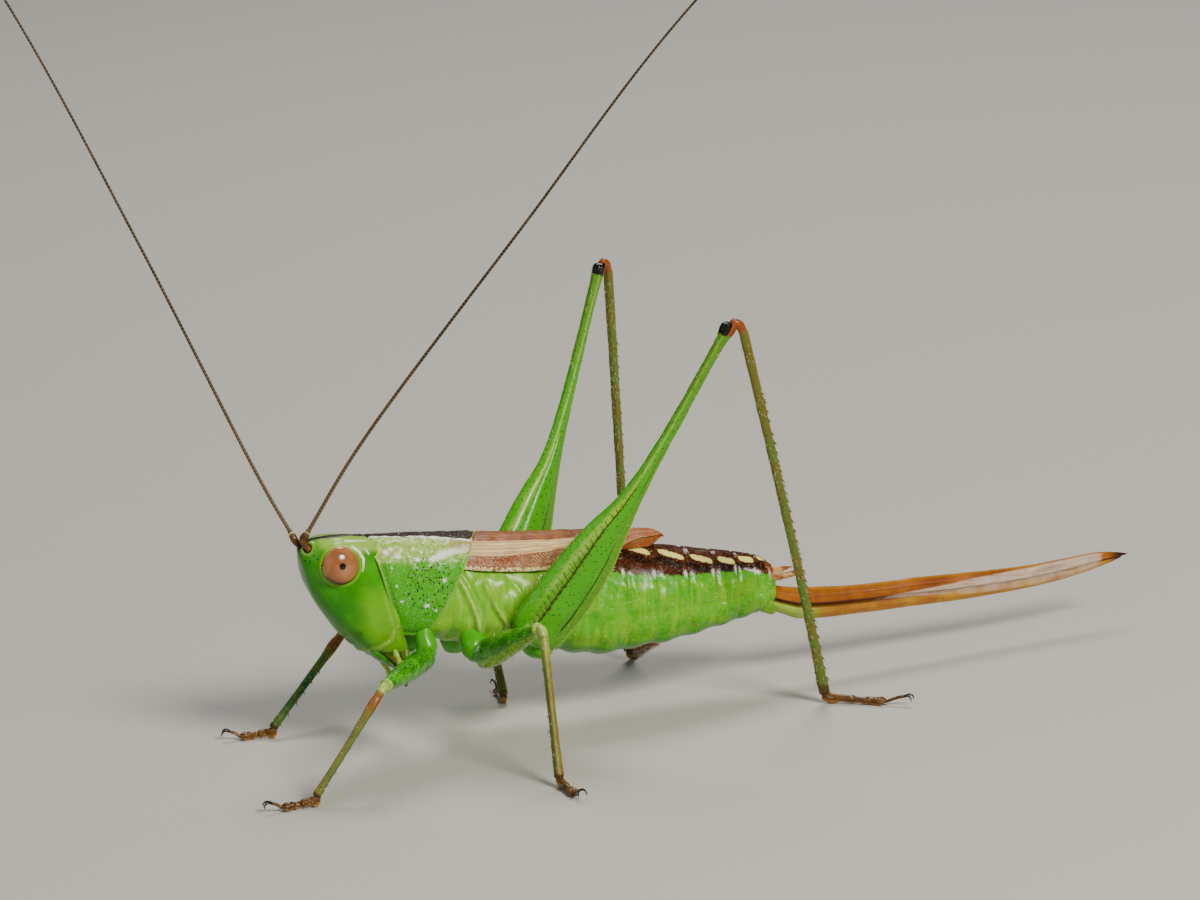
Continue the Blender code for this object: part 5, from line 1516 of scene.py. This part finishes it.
def feeler_finish(c):
    """Feeler: many short dark rings with paler joints between them."""
    thread = Finish('ringed feeler cuticle', c.feeler_brown, c.feeler_dark, cloud=0.5)
    along_it = node(thread.tree, 'ShaderNodeAttribute', out='Fac', attribute_name='along')
    joint = node(thread.tree, 'ShaderNodeMath', {0: along_it, 1: 0.065}, operation='PINGPONG')
    for value, low, high, amount in ((joint, 0.022, 0.010, 0.5), (along_it, 8.0, 0.5, 0.35)):
        pale = node(thread.tree, 'ShaderNodeMapRange', {
            'Value': value, 'From Min': low, 'From Max': high})
        thread.lay(c.feeler_tan, pale, amount)
    thread.gloss(0.40, 0.55, 0.2)
    return thread.done(coat=0.0, soft=0.0, grain=0.03, grain_height=0.002)


def tipped_finish(name, ground, deep, end, mask='end'):
    """A soft pale part whose end is dark."""
    part = Finish(name, ground, deep, cloud=0.3)
    part.stain(mask, end, 0.92, ragged=0.25, grain=0.12, soft=0.28)
    part.gloss(0.17, 0.30, 0.2)
    return part.done(coat=0.15, coat_rough=0.1, soft=0.12, grain=0.05, grain_height=0.004)


def floor_finish(c):
    """Matt studio board."""
    board = bpy.data.materials.new('matt studio board')
    board.use_nodes = True
    shader = board.node_tree.nodes['Principled BSDF'].inputs
    shader['Base Color'].default_value = (*linear(c.floor), 1.0)
    shader['Roughness'].default_value = 0.85
    shader['Specular IOR Level'].default_value = 0.2
    return board


# ---- user values ----

def colour(name, description, code):
    """A colour that a user may change, given as an sRGB hex value."""
    return bpy.props.StringProperty(name=name, description=description, default=code)


class KatydidColours(bpy.types.PropertyGroup):
    """Colours of the finishes, as sRGB hex values."""
    leaf_green: colour("Leaf green", "Ground colour of the head, the collar and the belly", '#439C03')
    # Deep green: painted shade toward the face's front and under the belly, and a darker tone in clouds,
    # dots and the lip
    deep_green_and_painted_shade: colour("Deep green", "Shaded green of the face and the underside", '#287E03')
    belly_green: colour("Belly green", "Green of the belly's sides", '#40A404')
    chest_green: colour("Chest green", "Pale clear green of the chest's sides", '#6CB40C')
    yellow_green: colour("Yellow green", "Yellow green of cheeks, keels and soft skin", '#86B60A')
    pale_green: colour("Pale green", "Pale green beside the crown's stripe and on ridges", '#A2BE54')
    leg_green: colour("Leg green", "Green of the thighs", '#46A208')
    olive_green: colour("Olive green", "Under side strip of the hind thigh", '#5E9410')
    dot_green: colour("Dot green", "Dark green of the dots and the lower line of the thigh", '#062E06')
    dot_dark: colour("Dark dots", "Dots on the head and collar", '#0C1404')
    stripe_brown: colour("Stripe brown", "Dark brown stripe over the head and collar", '#220B05')
    belly_brown: colour("Belly brown", "Chocolate brown of the belly's back", '#3C1608')
    spine_brown: colour("Herringbone brown", "Brown line and ticks on the hind thigh", '#3A1C08')
    patch_cream: colour("Patch cream", "Cream patches on the belly's back", '#ECE07A')
    cream: colour("Cream", "Cream patches and veins", '#F2D398')
    pale_cream: colour("Pale cream", "Pale edges and knees", '#E6E29A')
    # White of the collar's pale lines, and of the painted glints, highlights and sparkles on the head,
    # collar, belly and thighs
    white_and_painted_glint: colour("Pearl", "White glossy marks", '#FAFAEC')
    wing_tan: colour("Wing tan", "Ground colour of the wing covers", '#A4642A')
    wing_brown: colour("Wing brown", "Darker brown of the wing covers", '#7A3E16')
    wing_red: colour("Wing red brown", "Lower field of the wing covers", '#7E2906')
    wing_tip: colour("Wing tip", "Orange brown tip of the wing covers", '#9A4A1A')
    egg_orange: colour("Egg layer orange", "Orange brown of the egg layer", '#A05E14')
    egg_brown: colour("Egg layer brown", "Darker brown of the egg layer", '#7C3C0A')
    egg_gold: colour("Egg layer gold", "Golden edge of the egg layer", '#B2821A')
    egg_dark: colour("Egg layer groove", "Dark groove of the egg layer", '#4A200A')
    # Colour of the painted silvery highlight toward the egg layer's end
    egg_painted_sheen: colour("Egg layer silver", "Pinkish silver of the egg layer's end", '#CDBAA6')
    eye_salmon: colour("Eye salmon", "Ground colour of the eyes", '#A46A42')
    eye_brown: colour("Eye brown", "Darker brown of the eyes", '#8C562F')
    eye_light: colour("Eye light", "Pale rim and sheen of the eyes", '#C48A5A')
    knee_red: colour("Knee red", "Red brown of the hind knees", '#8A3A10')
    shin_olive: colour("Shin olive", "Olive of the shins", '#655E1E')
    shin_green: colour("Shin green", "Green of the shins", '#4E6E24')
    shin_teal: colour("Shin teal", "Bluish green of the fore shins", '#2C6430')
    bark_brown: colour("Bark brown", "Brown of ankles, jaws and smudges", '#4A2A12')
    foot_brown: colour("Foot brown", "Brown of the feet", '#6C4A1A')
    foot_tan: colour("Foot tan", "Tan of the soft pads", '#A8702E')
    feeler_brown: colour("Feeler brown", "Brown of the feelers", '#40301A')
    feeler_dark: colour("Feeler dark", "Dark rings of the feelers", '#281A0C')
    feeler_tan: colour("Feeler tan", "Pale joints of the feelers", '#80704C')
    cercus_tan: colour("Cercus tan", "Tan of the two short tail feelers", '#B88C4C')
    hair_pale: colour("Pale hairs", "Fine hairs of the legs and belly", '#E6E2B8')
    black: colour("Black", "Knee caps, claws and spines", '#0D0806')
    floor: colour("Floor", "Studio floor", '#BAB7AE')


def size(name, description, value):
    """A length in millimetres that a user may change."""
    return bpy.props.FloatProperty(name=name, description=description + ", in millimetres",
                                   default=value, min=0.0, max=10.0, precision=3)


class KatydidSizes(bpy.types.PropertyGroup):
    """Sizes of what grows on the skin, in millimetres."""
    feeler_root: size("Feeler root", "Radius of a feeler at its root", 0.070)
    feeler_tip: size("Feeler tip", "Radius of a feeler at its tip", 0.026)
    feeler_ring: size("Feeler ring", "Length of one ring of a feeler", 0.13)
    hair_length: size("Hair length", "Length of the fine hairs on the legs", 0.15)
    hair_radius: size("Hair radius", "Radius of a fine hair at its root", 0.0065)
    spine_length: size("Spine length", "Length of the spines on the hind shins", 0.20)
    spine_radius: size("Spine radius", "Radius of a spine at its root", 0.028)
    shell: size("Collar wall", "Thickness of the collar's plate", 0.10)
    light: bpy.props.FloatProperty(name="Light", description="Strength of the studio lights",
                                   default=1.0, min=0.0)


# ---- the studio ----

def studio_floor(c):
    """The matt board that the model stands on."""
    bm = bmesh.new()
    bmesh.ops.create_grid(bm, x_segments=1, y_segments=1, size=FLOOR_HALF_WIDTH)
    mesh = bpy.data.meshes.new('studio_floor')
    bm.to_mesh(mesh)
    bm.free()
    show('studio_floor', mesh, floor_finish(c))


def studio_lights(strength):
    """Soft round lights that face the model, and a pale sky."""
    for name, spot, width, watts, tone in LIGHTS:
        data = bpy.data.lights.new(name, 'AREA')
        data.shape = 'DISK'
        data.size = width * MM
        data.energy = watts * strength
        data.color = linear(tone)
        lamp = bpy.data.objects.new(name, data)
        bpy.context.scene.collection.objects.link(lamp)
        lamp.location = placed(spot)
        aim = Vector(placed(LIGHT_AIM)) - lamp.location
        lamp.rotation_euler = aim.to_track_quat('-Z', 'Y').to_euler()
    world = bpy.data.worlds.new('pale studio')
    world.use_nodes = True
    sky = world.node_tree.nodes['Background'].inputs
    sky['Color'].default_value = (*linear(SKY_TONE), 1.0)
    sky['Strength'].default_value = SKY_STRENGTH
    bpy.context.scene.world = world


def studio_camera():
    """A long lens that looks at the model's left side from a little above."""
    data = bpy.data.cameras.new('studio_camera')
    data.sensor_width = SENSOR_WIDTH
    data.lens = SENSOR_WIDTH * CAMERA_DISTANCE / VIEW_WIDTH
    data.clip_start, data.clip_end = 0.001, 10.0
    data.dof.use_dof = False
    camera = bpy.data.objects.new('studio_camera', data)
    bpy.context.scene.collection.objects.link(camera)
    turn, rise = CAMERA_TURN, CAMERA_RISE
    back = Vector((sin(turn) * cos(rise), -cos(turn) * cos(rise), sin(rise)))
    across = Vector((0, 0, 1)).cross(back).normalized()
    up = back.cross(across)
    right = across * cos(CAMERA_ROLL) - up * sin(CAMERA_ROLL)
    upright = across * sin(CAMERA_ROLL) + up * cos(CAMERA_ROLL)
    place = Vector(placed(CAMERA_AIM)) + back * (CAMERA_DISTANCE * MM)
    camera.matrix_world = Matrix.Translation(place) @ Matrix((right, upright, back)).transposed().to_4x4()
    bpy.context.scene.camera = camera


# ---- the smaller pieces ----

def upper_lip(finish):
    """The soft flap over the jaws, with a notch in its lower edge."""
    lowest = LIP[-1][0]
    z = np.linspace(LIP[0][0], lowest, 46)[:, None]
    front, half, deep = along(LIP, z)
    turn = turns(48)[None, :]
    close = round_off(z, lowest + LIP_ROUNDING, lowest, 0.01)
    notch = 0.10 * hump(turn, 0, 0.22) * ease(-z, 3.75, 4.0)
    x = (front + deep / 2 - (deep / 2 * close - 0.04 * np.cos(2 * turn)) * power(np.cos(turn), 0.8)
         + notch)
    y = half * (0.55 + 0.45 * close) * power(np.sin(turn), 0.85)
    grid = points_at(x, y, z + 0.05 * np.cos(turn) * close)
    grid = push(grid, 0.02 * hump(z, -3.66, 0.05) + 0.006 * ripple(grid, 0.3, 5))
    lip = skin('upper_lip', tipped(grid), finish, {'end': ease(-z, 3.7, 4.05)})
    dress(lip, 'mouth_parts', 'labrum')


def jaw(side, name, finish):
    """One hard jaw, under the lip."""
    z = np.linspace(JAW[0][0], JAW[-1][0], 40)[:, None]
    front, back, outer = along(JAW, z)
    turn = turns(40)[None, :]
    x = (front + back) / 2 - (back - front) / 2 * power(np.cos(turn), 0.75)
    y = side * (outer / 2 + 0.01 + (outer / 2 - 0.01) * power(np.sin(turn), 0.8))
    grid = points_at(x, y, z)
    grid = push(grid, -0.02 * hump(z, -3.75, 0.05) + 0.01 * ripple(grid, 0.3, 2))
    piece = skin('jaw_' + name, tipped(grid), finish, {'end': ease(-z, 3.72, 3.90)})
    dress(piece, 'mouth_parts', 'mandible_' + name)


def palp(side, name, pair, finish):
    """One mouth feeler, a row of joints that swell in their middles."""
    knots = np.array(PALPS[pair]) * (1, side, 1)
    t = np.linspace(0, 1, 61)
    bulge = np.abs(np.sin(t * pi * (len(knots) - 1))) ** 0.5
    radii = (0.056 + 0.026 * bulge + 0.020 * t) * blunt(t, 16)
    grid = sweep(route(knots, 60), radii, 20)
    piece = skin('palp_%s_%s_skin' % (pair, name), tipped(grid), finish,
                 {'end': ease(t, 0.86, 0.97)[:, None]})
    dress(piece, 'mouth_parts', 'palp_%s_%s' % (pair, name))


def feeler_base(side, name, path, heading, finish):
    """The two thick joints at a feeler's root."""
    socket = tipped(FEELER_SOCKET * (1, side, 1))
    stops = route((socket, *(path[0] + heading * on for on in (-0.06, 0.18, 0.36))), 60)
    t = np.linspace(0, 1, 61)
    radii = (0.112 + 0.012 * hump(t, 0.50, 0.2) - 0.025 * ease(t, 0.68, 0.76)
             - 0.030 * ease(t, 0.93, 1.0) - 0.03 * hump(t, 0.74, 0.025) + 0.010 * hump(t, 0.82, 0.05))
    piece = skin('feeler_base_' + name, sweep(stops, radii, 28), finish,
                 {'ring': hump(t, 0.80, 0.045)[:, None]})
    dress(piece, 'feeler_cuticle', 'scape_' + name)


def feeler_thread(name, path, heading, tree, finish, sizes):
    """The long ringed thread of a feeler."""
    thread = np.concatenate(([path[0] + heading * 0.32], path[3:]))
    length = np.linalg.norm(np.diff(thread, axis=0), axis=1).sum()
    guide = guide_mesh('feeler_guide', thread, [(i, i + 1) for i in range(len(thread) - 1)])
    piece = grown('feeler_thread_' + name, guide, tree, Rings=int(length / sizes.feeler_ring),
                  Root_Radius=sizes.feeler_root * MM, Tip_Radius=sizes.feeler_tip * MM,
                  Ring_Depth=0.12, Finish=finish)
    dress(piece, 'feeler_cuticle', *('feeler_%s_%d' % (name, n) for n in (1, 2, 3)))


def tail_plate(name, finish, rows, groove):
    """A small plate over or under the egg layer's root, with a groove along its middle."""
    x = np.linspace(rows[0][0], rows[-1][0], 40)[:, None]
    top, bottom, half = along(rows, x)
    close = blunt((x - x[0]) / (x[-1] - x[0]), 8)
    turn = turns(40)[None, :]
    y = half * close * power(np.sin(turn), 0.9)
    z = (top + bottom) / 2 + (top - bottom) / 2 * close * power(np.cos(turn), 0.9)
    grid = points_at(x, y, z)
    grid = push(grid, 0.01 * ripple(grid, 0.3, 8) - groove * hump(y, 0, 0.08))
    dress(skin(name + '_skin', tipped(grid), finish), 'green_cuticle', name)


def tail_feeler(side, name, finish, c, sizes):
    """One short bristly feeler beside the egg layer's root."""
    t = np.linspace(0, 1, 61)
    radii = 0.135 - 0.03 * ease(t, 0.2, 0.7) - 0.09 * ease(t, 0.60, 1.0)
    grid = sweep(route(np.array(TAIL_FEELER) * (1, side, 1), 60), radii, 24)
    grid = push(grid, 0.006 * ripple(grid, 0.15, 3))
    marks = {'hair': 1.0, 'lie': lie_along(tipped(grid))}
    piece = skin('tail_feeler_' + name, tipped(grid), finish, marks)
    dress(piece, 'cercus', 'cercus_' + name)
    bristles(piece, 'tail_feeler_hairs_' + name, 'cercus', c, sizes, density=60, length=0.8, seed=9)


def hip(leg, finish):
    """The cone between the chest and the thigh, with the small ring at the thigh's root."""
    end = leg.hip + unit(leg.hip - leg.hip_root) * 0.10
    start = leg.hip_root + np.array((0, 0, 0.25))
    path = route((start, start + (end - start) * 0.5 + np.array((0, 0, -0.06)), end), 50)
    t = np.linspace(0, 1, 51)
    first, last = HIP_RADII[leg.pair]
    radii = (first * (0.75 + 0.25 * ease(t, 0.0, 0.55)) + (last - first) * ease(t, 0.5, 1.05)
             - 0.03 * hump(t, 0.78, 0.04))
    grid = sweep(path, radii * blunt(t, 14) * round_off(t, 0.12, 0, 0.01), 44)
    grid = push(grid, 0.015 * ripple(grid, 0.35, 12))
    dress(skin('hip_' + leg.name, grid, finish), 'green_cuticle', 'coxa_' + leg.name)


def shin_spines(leg, grid, path, tree, finish, sizes):
    """The rows of spines on a shin."""
    points, outs, scales = spine_guides(grid, path, SPINE_ROWS[leg.pair])
    spines = grown('shin_spines_' + leg.name, guide_mesh('spine_guide', points, out=outs, size=scales),
                   tree, Length=sizes.spine_length * MM, Thickness=sizes.spine_radius * MM, Finish=finish)
    dress(spines, 'shin_cuticle')


def foot(leg, finish, claw_finish, c, sizes, seed):
    """The four joints and two claws of a foot."""
    joints, claws = foot_grids(leg)
    for n, (grid, marks) in enumerate(joints, 1):
        piece = skin('foot_%s_joint_%d' % (leg.name, n), grid, finish, marks)
        dress(piece, 'foot_cuticle', *(['tarsus_' + leg.name] if n == 1 else []))
        bristles(piece, 'foot_hairs_%s_%d' % (leg.name, n), 'foot_cuticle', c, sizes, 40, 0.5, seed)
    for n, grid in enumerate(claws, 1):
        dress(skin('claw_%s_%d' % (leg.name, n), grid, claw_finish), 'foot_cuticle')


def bristles(piece, name, slot, c, sizes, density, length, seed):
    """Grow fine hairs on a skin; density is hairs for each square millimetre."""
    tree = bpy.data.node_groups.get('bristles') or bristle_tree()
    finish = bpy.data.materials.get('pale hair') or plain_finish(
        'pale hair', c.hair_pale, c.cream, 0.5, (0.35, 0.5), coat=0.0, soft=0.0, grain_height=0.0)
    hairs = grown(name, piece.data.copy(), tree, Density=density / MM ** 2,
                  Length=sizes.hair_length * length * MM, Thickness=sizes.hair_radius * MM,
                  Lean=HAIR_LEAN, Seed=seed, Finish=finish)
    dress(hairs, slot)


# ---- operators ----

def user_values(context):
    """The colours and the sizes that a user may change."""
    return context.scene.katydid_colours, context.scene.katydid_sizes


class MakeStage(bpy.types.Operator):
    """Set the floor, the soft lights and the camera"""
    bl_idname = "katydid.stage"
    bl_label = "Stage"
    bl_options = {'REGISTER', 'UNDO'}

    def execute(self, context):
        c, sizes = user_values(context)
        studio_floor(c)
        studio_lights(sizes.light)
        studio_camera()
        return {'FINISHED'}


class MakeHead(bpy.types.Operator):
    """Build the head and its two eyes"""
    bl_idname = "katydid.head"
    bl_label = "Head and eyes"
    bl_options = {'REGISTER', 'UNDO'}

    def execute(self, context):
        c, _ = user_values(context)
        grid, marks = head_grid()
        head = skin('head_skin', tipped(grid), head_finish(c), marks)
        dress(head, 'green_cuticle', 'head')
        finish = eye_finish(c)
        for side, name in SIDES:
            grid, marks = eye_grid(side)
            eye = skin('faceted_eye_' + name, tipped(grid), finish, marks)
            dress(eye, 'eye', 'eye_' + name)
        return {'FINISHED'}


class MakeMouth(bpy.types.Operator):
    """Build the upper lip, the jaws and the mouth feelers"""
    bl_idname = "katydid.mouth"
    bl_label = "Mouth parts"
    bl_options = {'REGISTER', 'UNDO'}

    def execute(self, context):
        c, _ = user_values(context)
        upper_lip(tipped_finish('translucent lip', c.deep_green_and_painted_shade, c.leaf_green, c.dot_green))
        jaw_finish = tipped_finish('hard jaw', c.olive_green, c.foot_brown, c.stripe_brown)
        palp_finish = tipped_finish('soft palp', c.pale_green, c.yellow_green, c.foot_brown)
        for side, name in SIDES:
            jaw(side, name, jaw_finish)
            for pair in PALPS:
                palp(side, name, pair, palp_finish)
        return {'FINISHED'}


class MakeFeelers(bpy.types.Operator):
    """Build the jointed bases and the ringed threads of the feelers"""
    bl_idname = "katydid.feelers"
    bl_label = "Feelers"
    bl_options = {'REGISTER', 'UNDO'}

    def execute(self, context):
        c, sizes = user_values(context)
        finish = feeler_finish(c)
        base_finish = tipped_finish('brown feeler base', c.foot_brown, c.bark_brown, c.pale_cream, 'ring')
        tree = thread_tree()
        for side, name in SIDES:
            path = feeler_route(name)
            heading = unit(path[1] - path[0])
            feeler_base(side, name, path, heading, base_finish)
            feeler_thread(name, path, heading, tree, finish, sizes)
        return {'FINISHED'}


class MakeCollar(bpy.types.Operator):
    """Build the saddle-shaped plate behind the head"""
    bl_idname = "katydid.collar"
    bl_label = "Collar"
    bl_options = {'REGISTER', 'UNDO'}

    def execute(self, context):
        c, sizes = user_values(context)
        grid, marks = collar_grid()
        piece = skin('collar_plate', tipped(folded(grid, sizes.shell)), collar_finish(c), marks,
                     strip=True)
        dress(piece, 'green_cuticle', 'pronotum')
        return {'FINISHED'}


class MakeTrunk(bpy.types.Operator):
    """Build the chest and the belly as one skin"""
    bl_idname = "katydid.trunk"
    bl_label = "Chest and belly"
    bl_options = {'REGISTER', 'UNDO'}

    def execute(self, context):
        c, sizes = user_values(context)
        grid, marks = trunk_grid()
        piece = skin('trunk_skin', tipped(grid), trunk_finish(c), marks)
        dress(piece, 'green_cuticle', 'thorax', 'abdomen_front', 'abdomen_middle', 'abdomen_rear')
        bristles(piece, 'belly_hairs', 'green_cuticle', c, sizes, density=9, length=0.7, seed=5)
        return {'FINISHED'}


class MakeWings(bpy.types.Operator):
    """Build the two short wing covers"""
    bl_idname = "katydid.wings"
    bl_label = "Wing covers"
    bl_options = {'REGISTER', 'UNDO'}

    def execute(self, context):
        c, _ = user_values(context)
        finish = wing_finish(c)
        for side, name in SIDES:
            grid, marks = wing_grid(side)
            piece = skin('wing_cover_' + name, tipped(grid), finish, marks, strip=True)
            dress(piece, 'wing_cover', 'tegmen_' + name)
        return {'FINISHED'}


class MakeTail(bpy.types.Operator):
    """Build the egg layer, the plates round its root and the two tail feelers"""
    bl_idname = "katydid.tail"
    bl_label = "Egg layer and tail"
    bl_options = {'REGISTER', 'UNDO'}

    def execute(self, context):
        c, sizes = user_values(context)
        for upper, name in ((True, 'upper'), (False, 'lower')):
            grid, marks = valve_grid(upper)
            piece = skin('egg_layer_' + name, tipped(grid), egg_layer_finish(c, upper), marks)
            dress(piece, 'egg_layer', 'ovipositor_' + name)
        plate_finish = plain_finish('tail plate cuticle', c.yellow_green, c.olive_green, 0.35, coat=0.2)
        lobe_finish = plain_finish('brown tail lobe', c.egg_brown, c.belly_brown, 0.2, coat=0.2)
        tail_plate('subgenital_plate', plate_finish, PLATE_BELOW, groove=0.030)
        tail_plate('epiproct', lobe_finish, PLATE_ABOVE, groove=0.018)
        finish = plain_finish('bristly tan tail feeler', c.cercus_tan, c.egg_brown, 0.4, coat=0.2,
                              soft=0.1)
        for side, name in SIDES:
            tail_feeler(side, name, finish, c, sizes)
        return {'FINISHED'}


class MakeLegs(bpy.types.Operator):
    """Build the six legs: hip, thigh, shin, foot, claws, spines and hairs"""
    bl_idname = "katydid.legs"
    bl_label = "Legs"
    bl_options = {'REGISTER', 'UNDO'}

    def execute(self, context):
        c, sizes = user_values(context)
        thighs = {'front': thigh_finish(c)}
        thighs['middle'] = thighs['front']
        thighs['hind'] = hind_thigh_finish(c)
        shins = {pair: shin_finish(c, pair) for pair in ('front', 'middle', 'hind')}
        green_hip = plain_finish('soft green hip', c.leaf_green, c.belly_green, 0.5, (0.16, 0.28),
                                 coat=0.15, coat_rough=0.1, soft=0.12)
        brown_foot = foot_finish(c)
        claw = plain_finish('hard claw', c.stripe_brown, c.black, 0.1, (0.2, 0.3), coat=0.5)
        dark_spine = plain_finish('black spine', c.black, c.stripe_brown, 0.1, (0.25, 0.4), coat=0.3)
        pale_spine = plain_finish('pale spine', c.foot_tan, c.shin_olive, 0.1, (0.25, 0.4), coat=0.3)
        tree = spine_tree()
        for number, name in enumerate(sorted(KNEES)):
            leg = Leg(name)
            hip(leg, green_hip)
            grid, marks = thigh_grid(leg)
            thigh = skin('thigh_' + name, grid, thighs[leg.pair], marks)
            dress(thigh, 'green_cuticle', 'femur_' + name)
            bristles(thigh, 'thigh_hairs_' + name, 'green_cuticle', c, sizes, 26, 0.75, 40 + number)
            grid, marks, path = shin_grid(leg)
            shin = skin('shin_' + name, grid, shins[leg.pair], marks)
            dress(shin, 'shin_cuticle', 'tibia_' + name)
            bristles(shin, 'shin_hairs_' + name, 'shin_cuticle', c, sizes, 48, 0.75, 60 + number)
            shin_spines(leg, grid, path, tree, dark_spine if leg.pair == 'hind' else pale_spine, sizes)
            foot(leg, brown_foot, claw, c, sizes, 80 + number)
        return {'FINISHED'}


class KATYDID_PT_sidebar(bpy.types.Panel):
    """Panel that lists the makers and their values"""
    bl_label = "Meadow Katydid"
    bl_idname = "KATYDID_PT_sidebar"
    bl_space_type = 'VIEW_3D'
    bl_region_type = 'UI'
    bl_category = "Katydid"

    def draw(self, context):
        column = self.layout.column()
        for maker in MAKERS:
            column.operator(maker.bl_idname)
        for values in user_values(context):
            box = self.layout.box()
            for key in values.__annotations__:
                box.prop(values, key)


MAKERS = (MakeStage, MakeHead, MakeMouth, MakeFeelers, MakeCollar, MakeTrunk, MakeWings, MakeTail,
          MakeLegs)
CLASSES = (KatydidColours, KatydidSizes, *MAKERS, KATYDID_PT_sidebar)


def register():
    """Register the classes and hang the user's values on the scene."""
    for item in CLASSES:
        bpy.utils.register_class(item)
    bpy.types.Scene.katydid_colours = bpy.props.PointerProperty(type=KatydidColours)
    bpy.types.Scene.katydid_sizes = bpy.props.PointerProperty(type=KatydidSizes)


def unregister():
    """Take away what register added."""
    del bpy.types.Scene.katydid_sizes
    del bpy.types.Scene.katydid_colours
    for item in reversed(CLASSES):
        bpy.utils.unregister_class(item)


def main():
    """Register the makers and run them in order."""
    register()
    for maker in MAKERS:
        getattr(bpy.ops.katydid, maker.bl_idname.split('.')[1])()


if __name__ == "__main__":
    main()
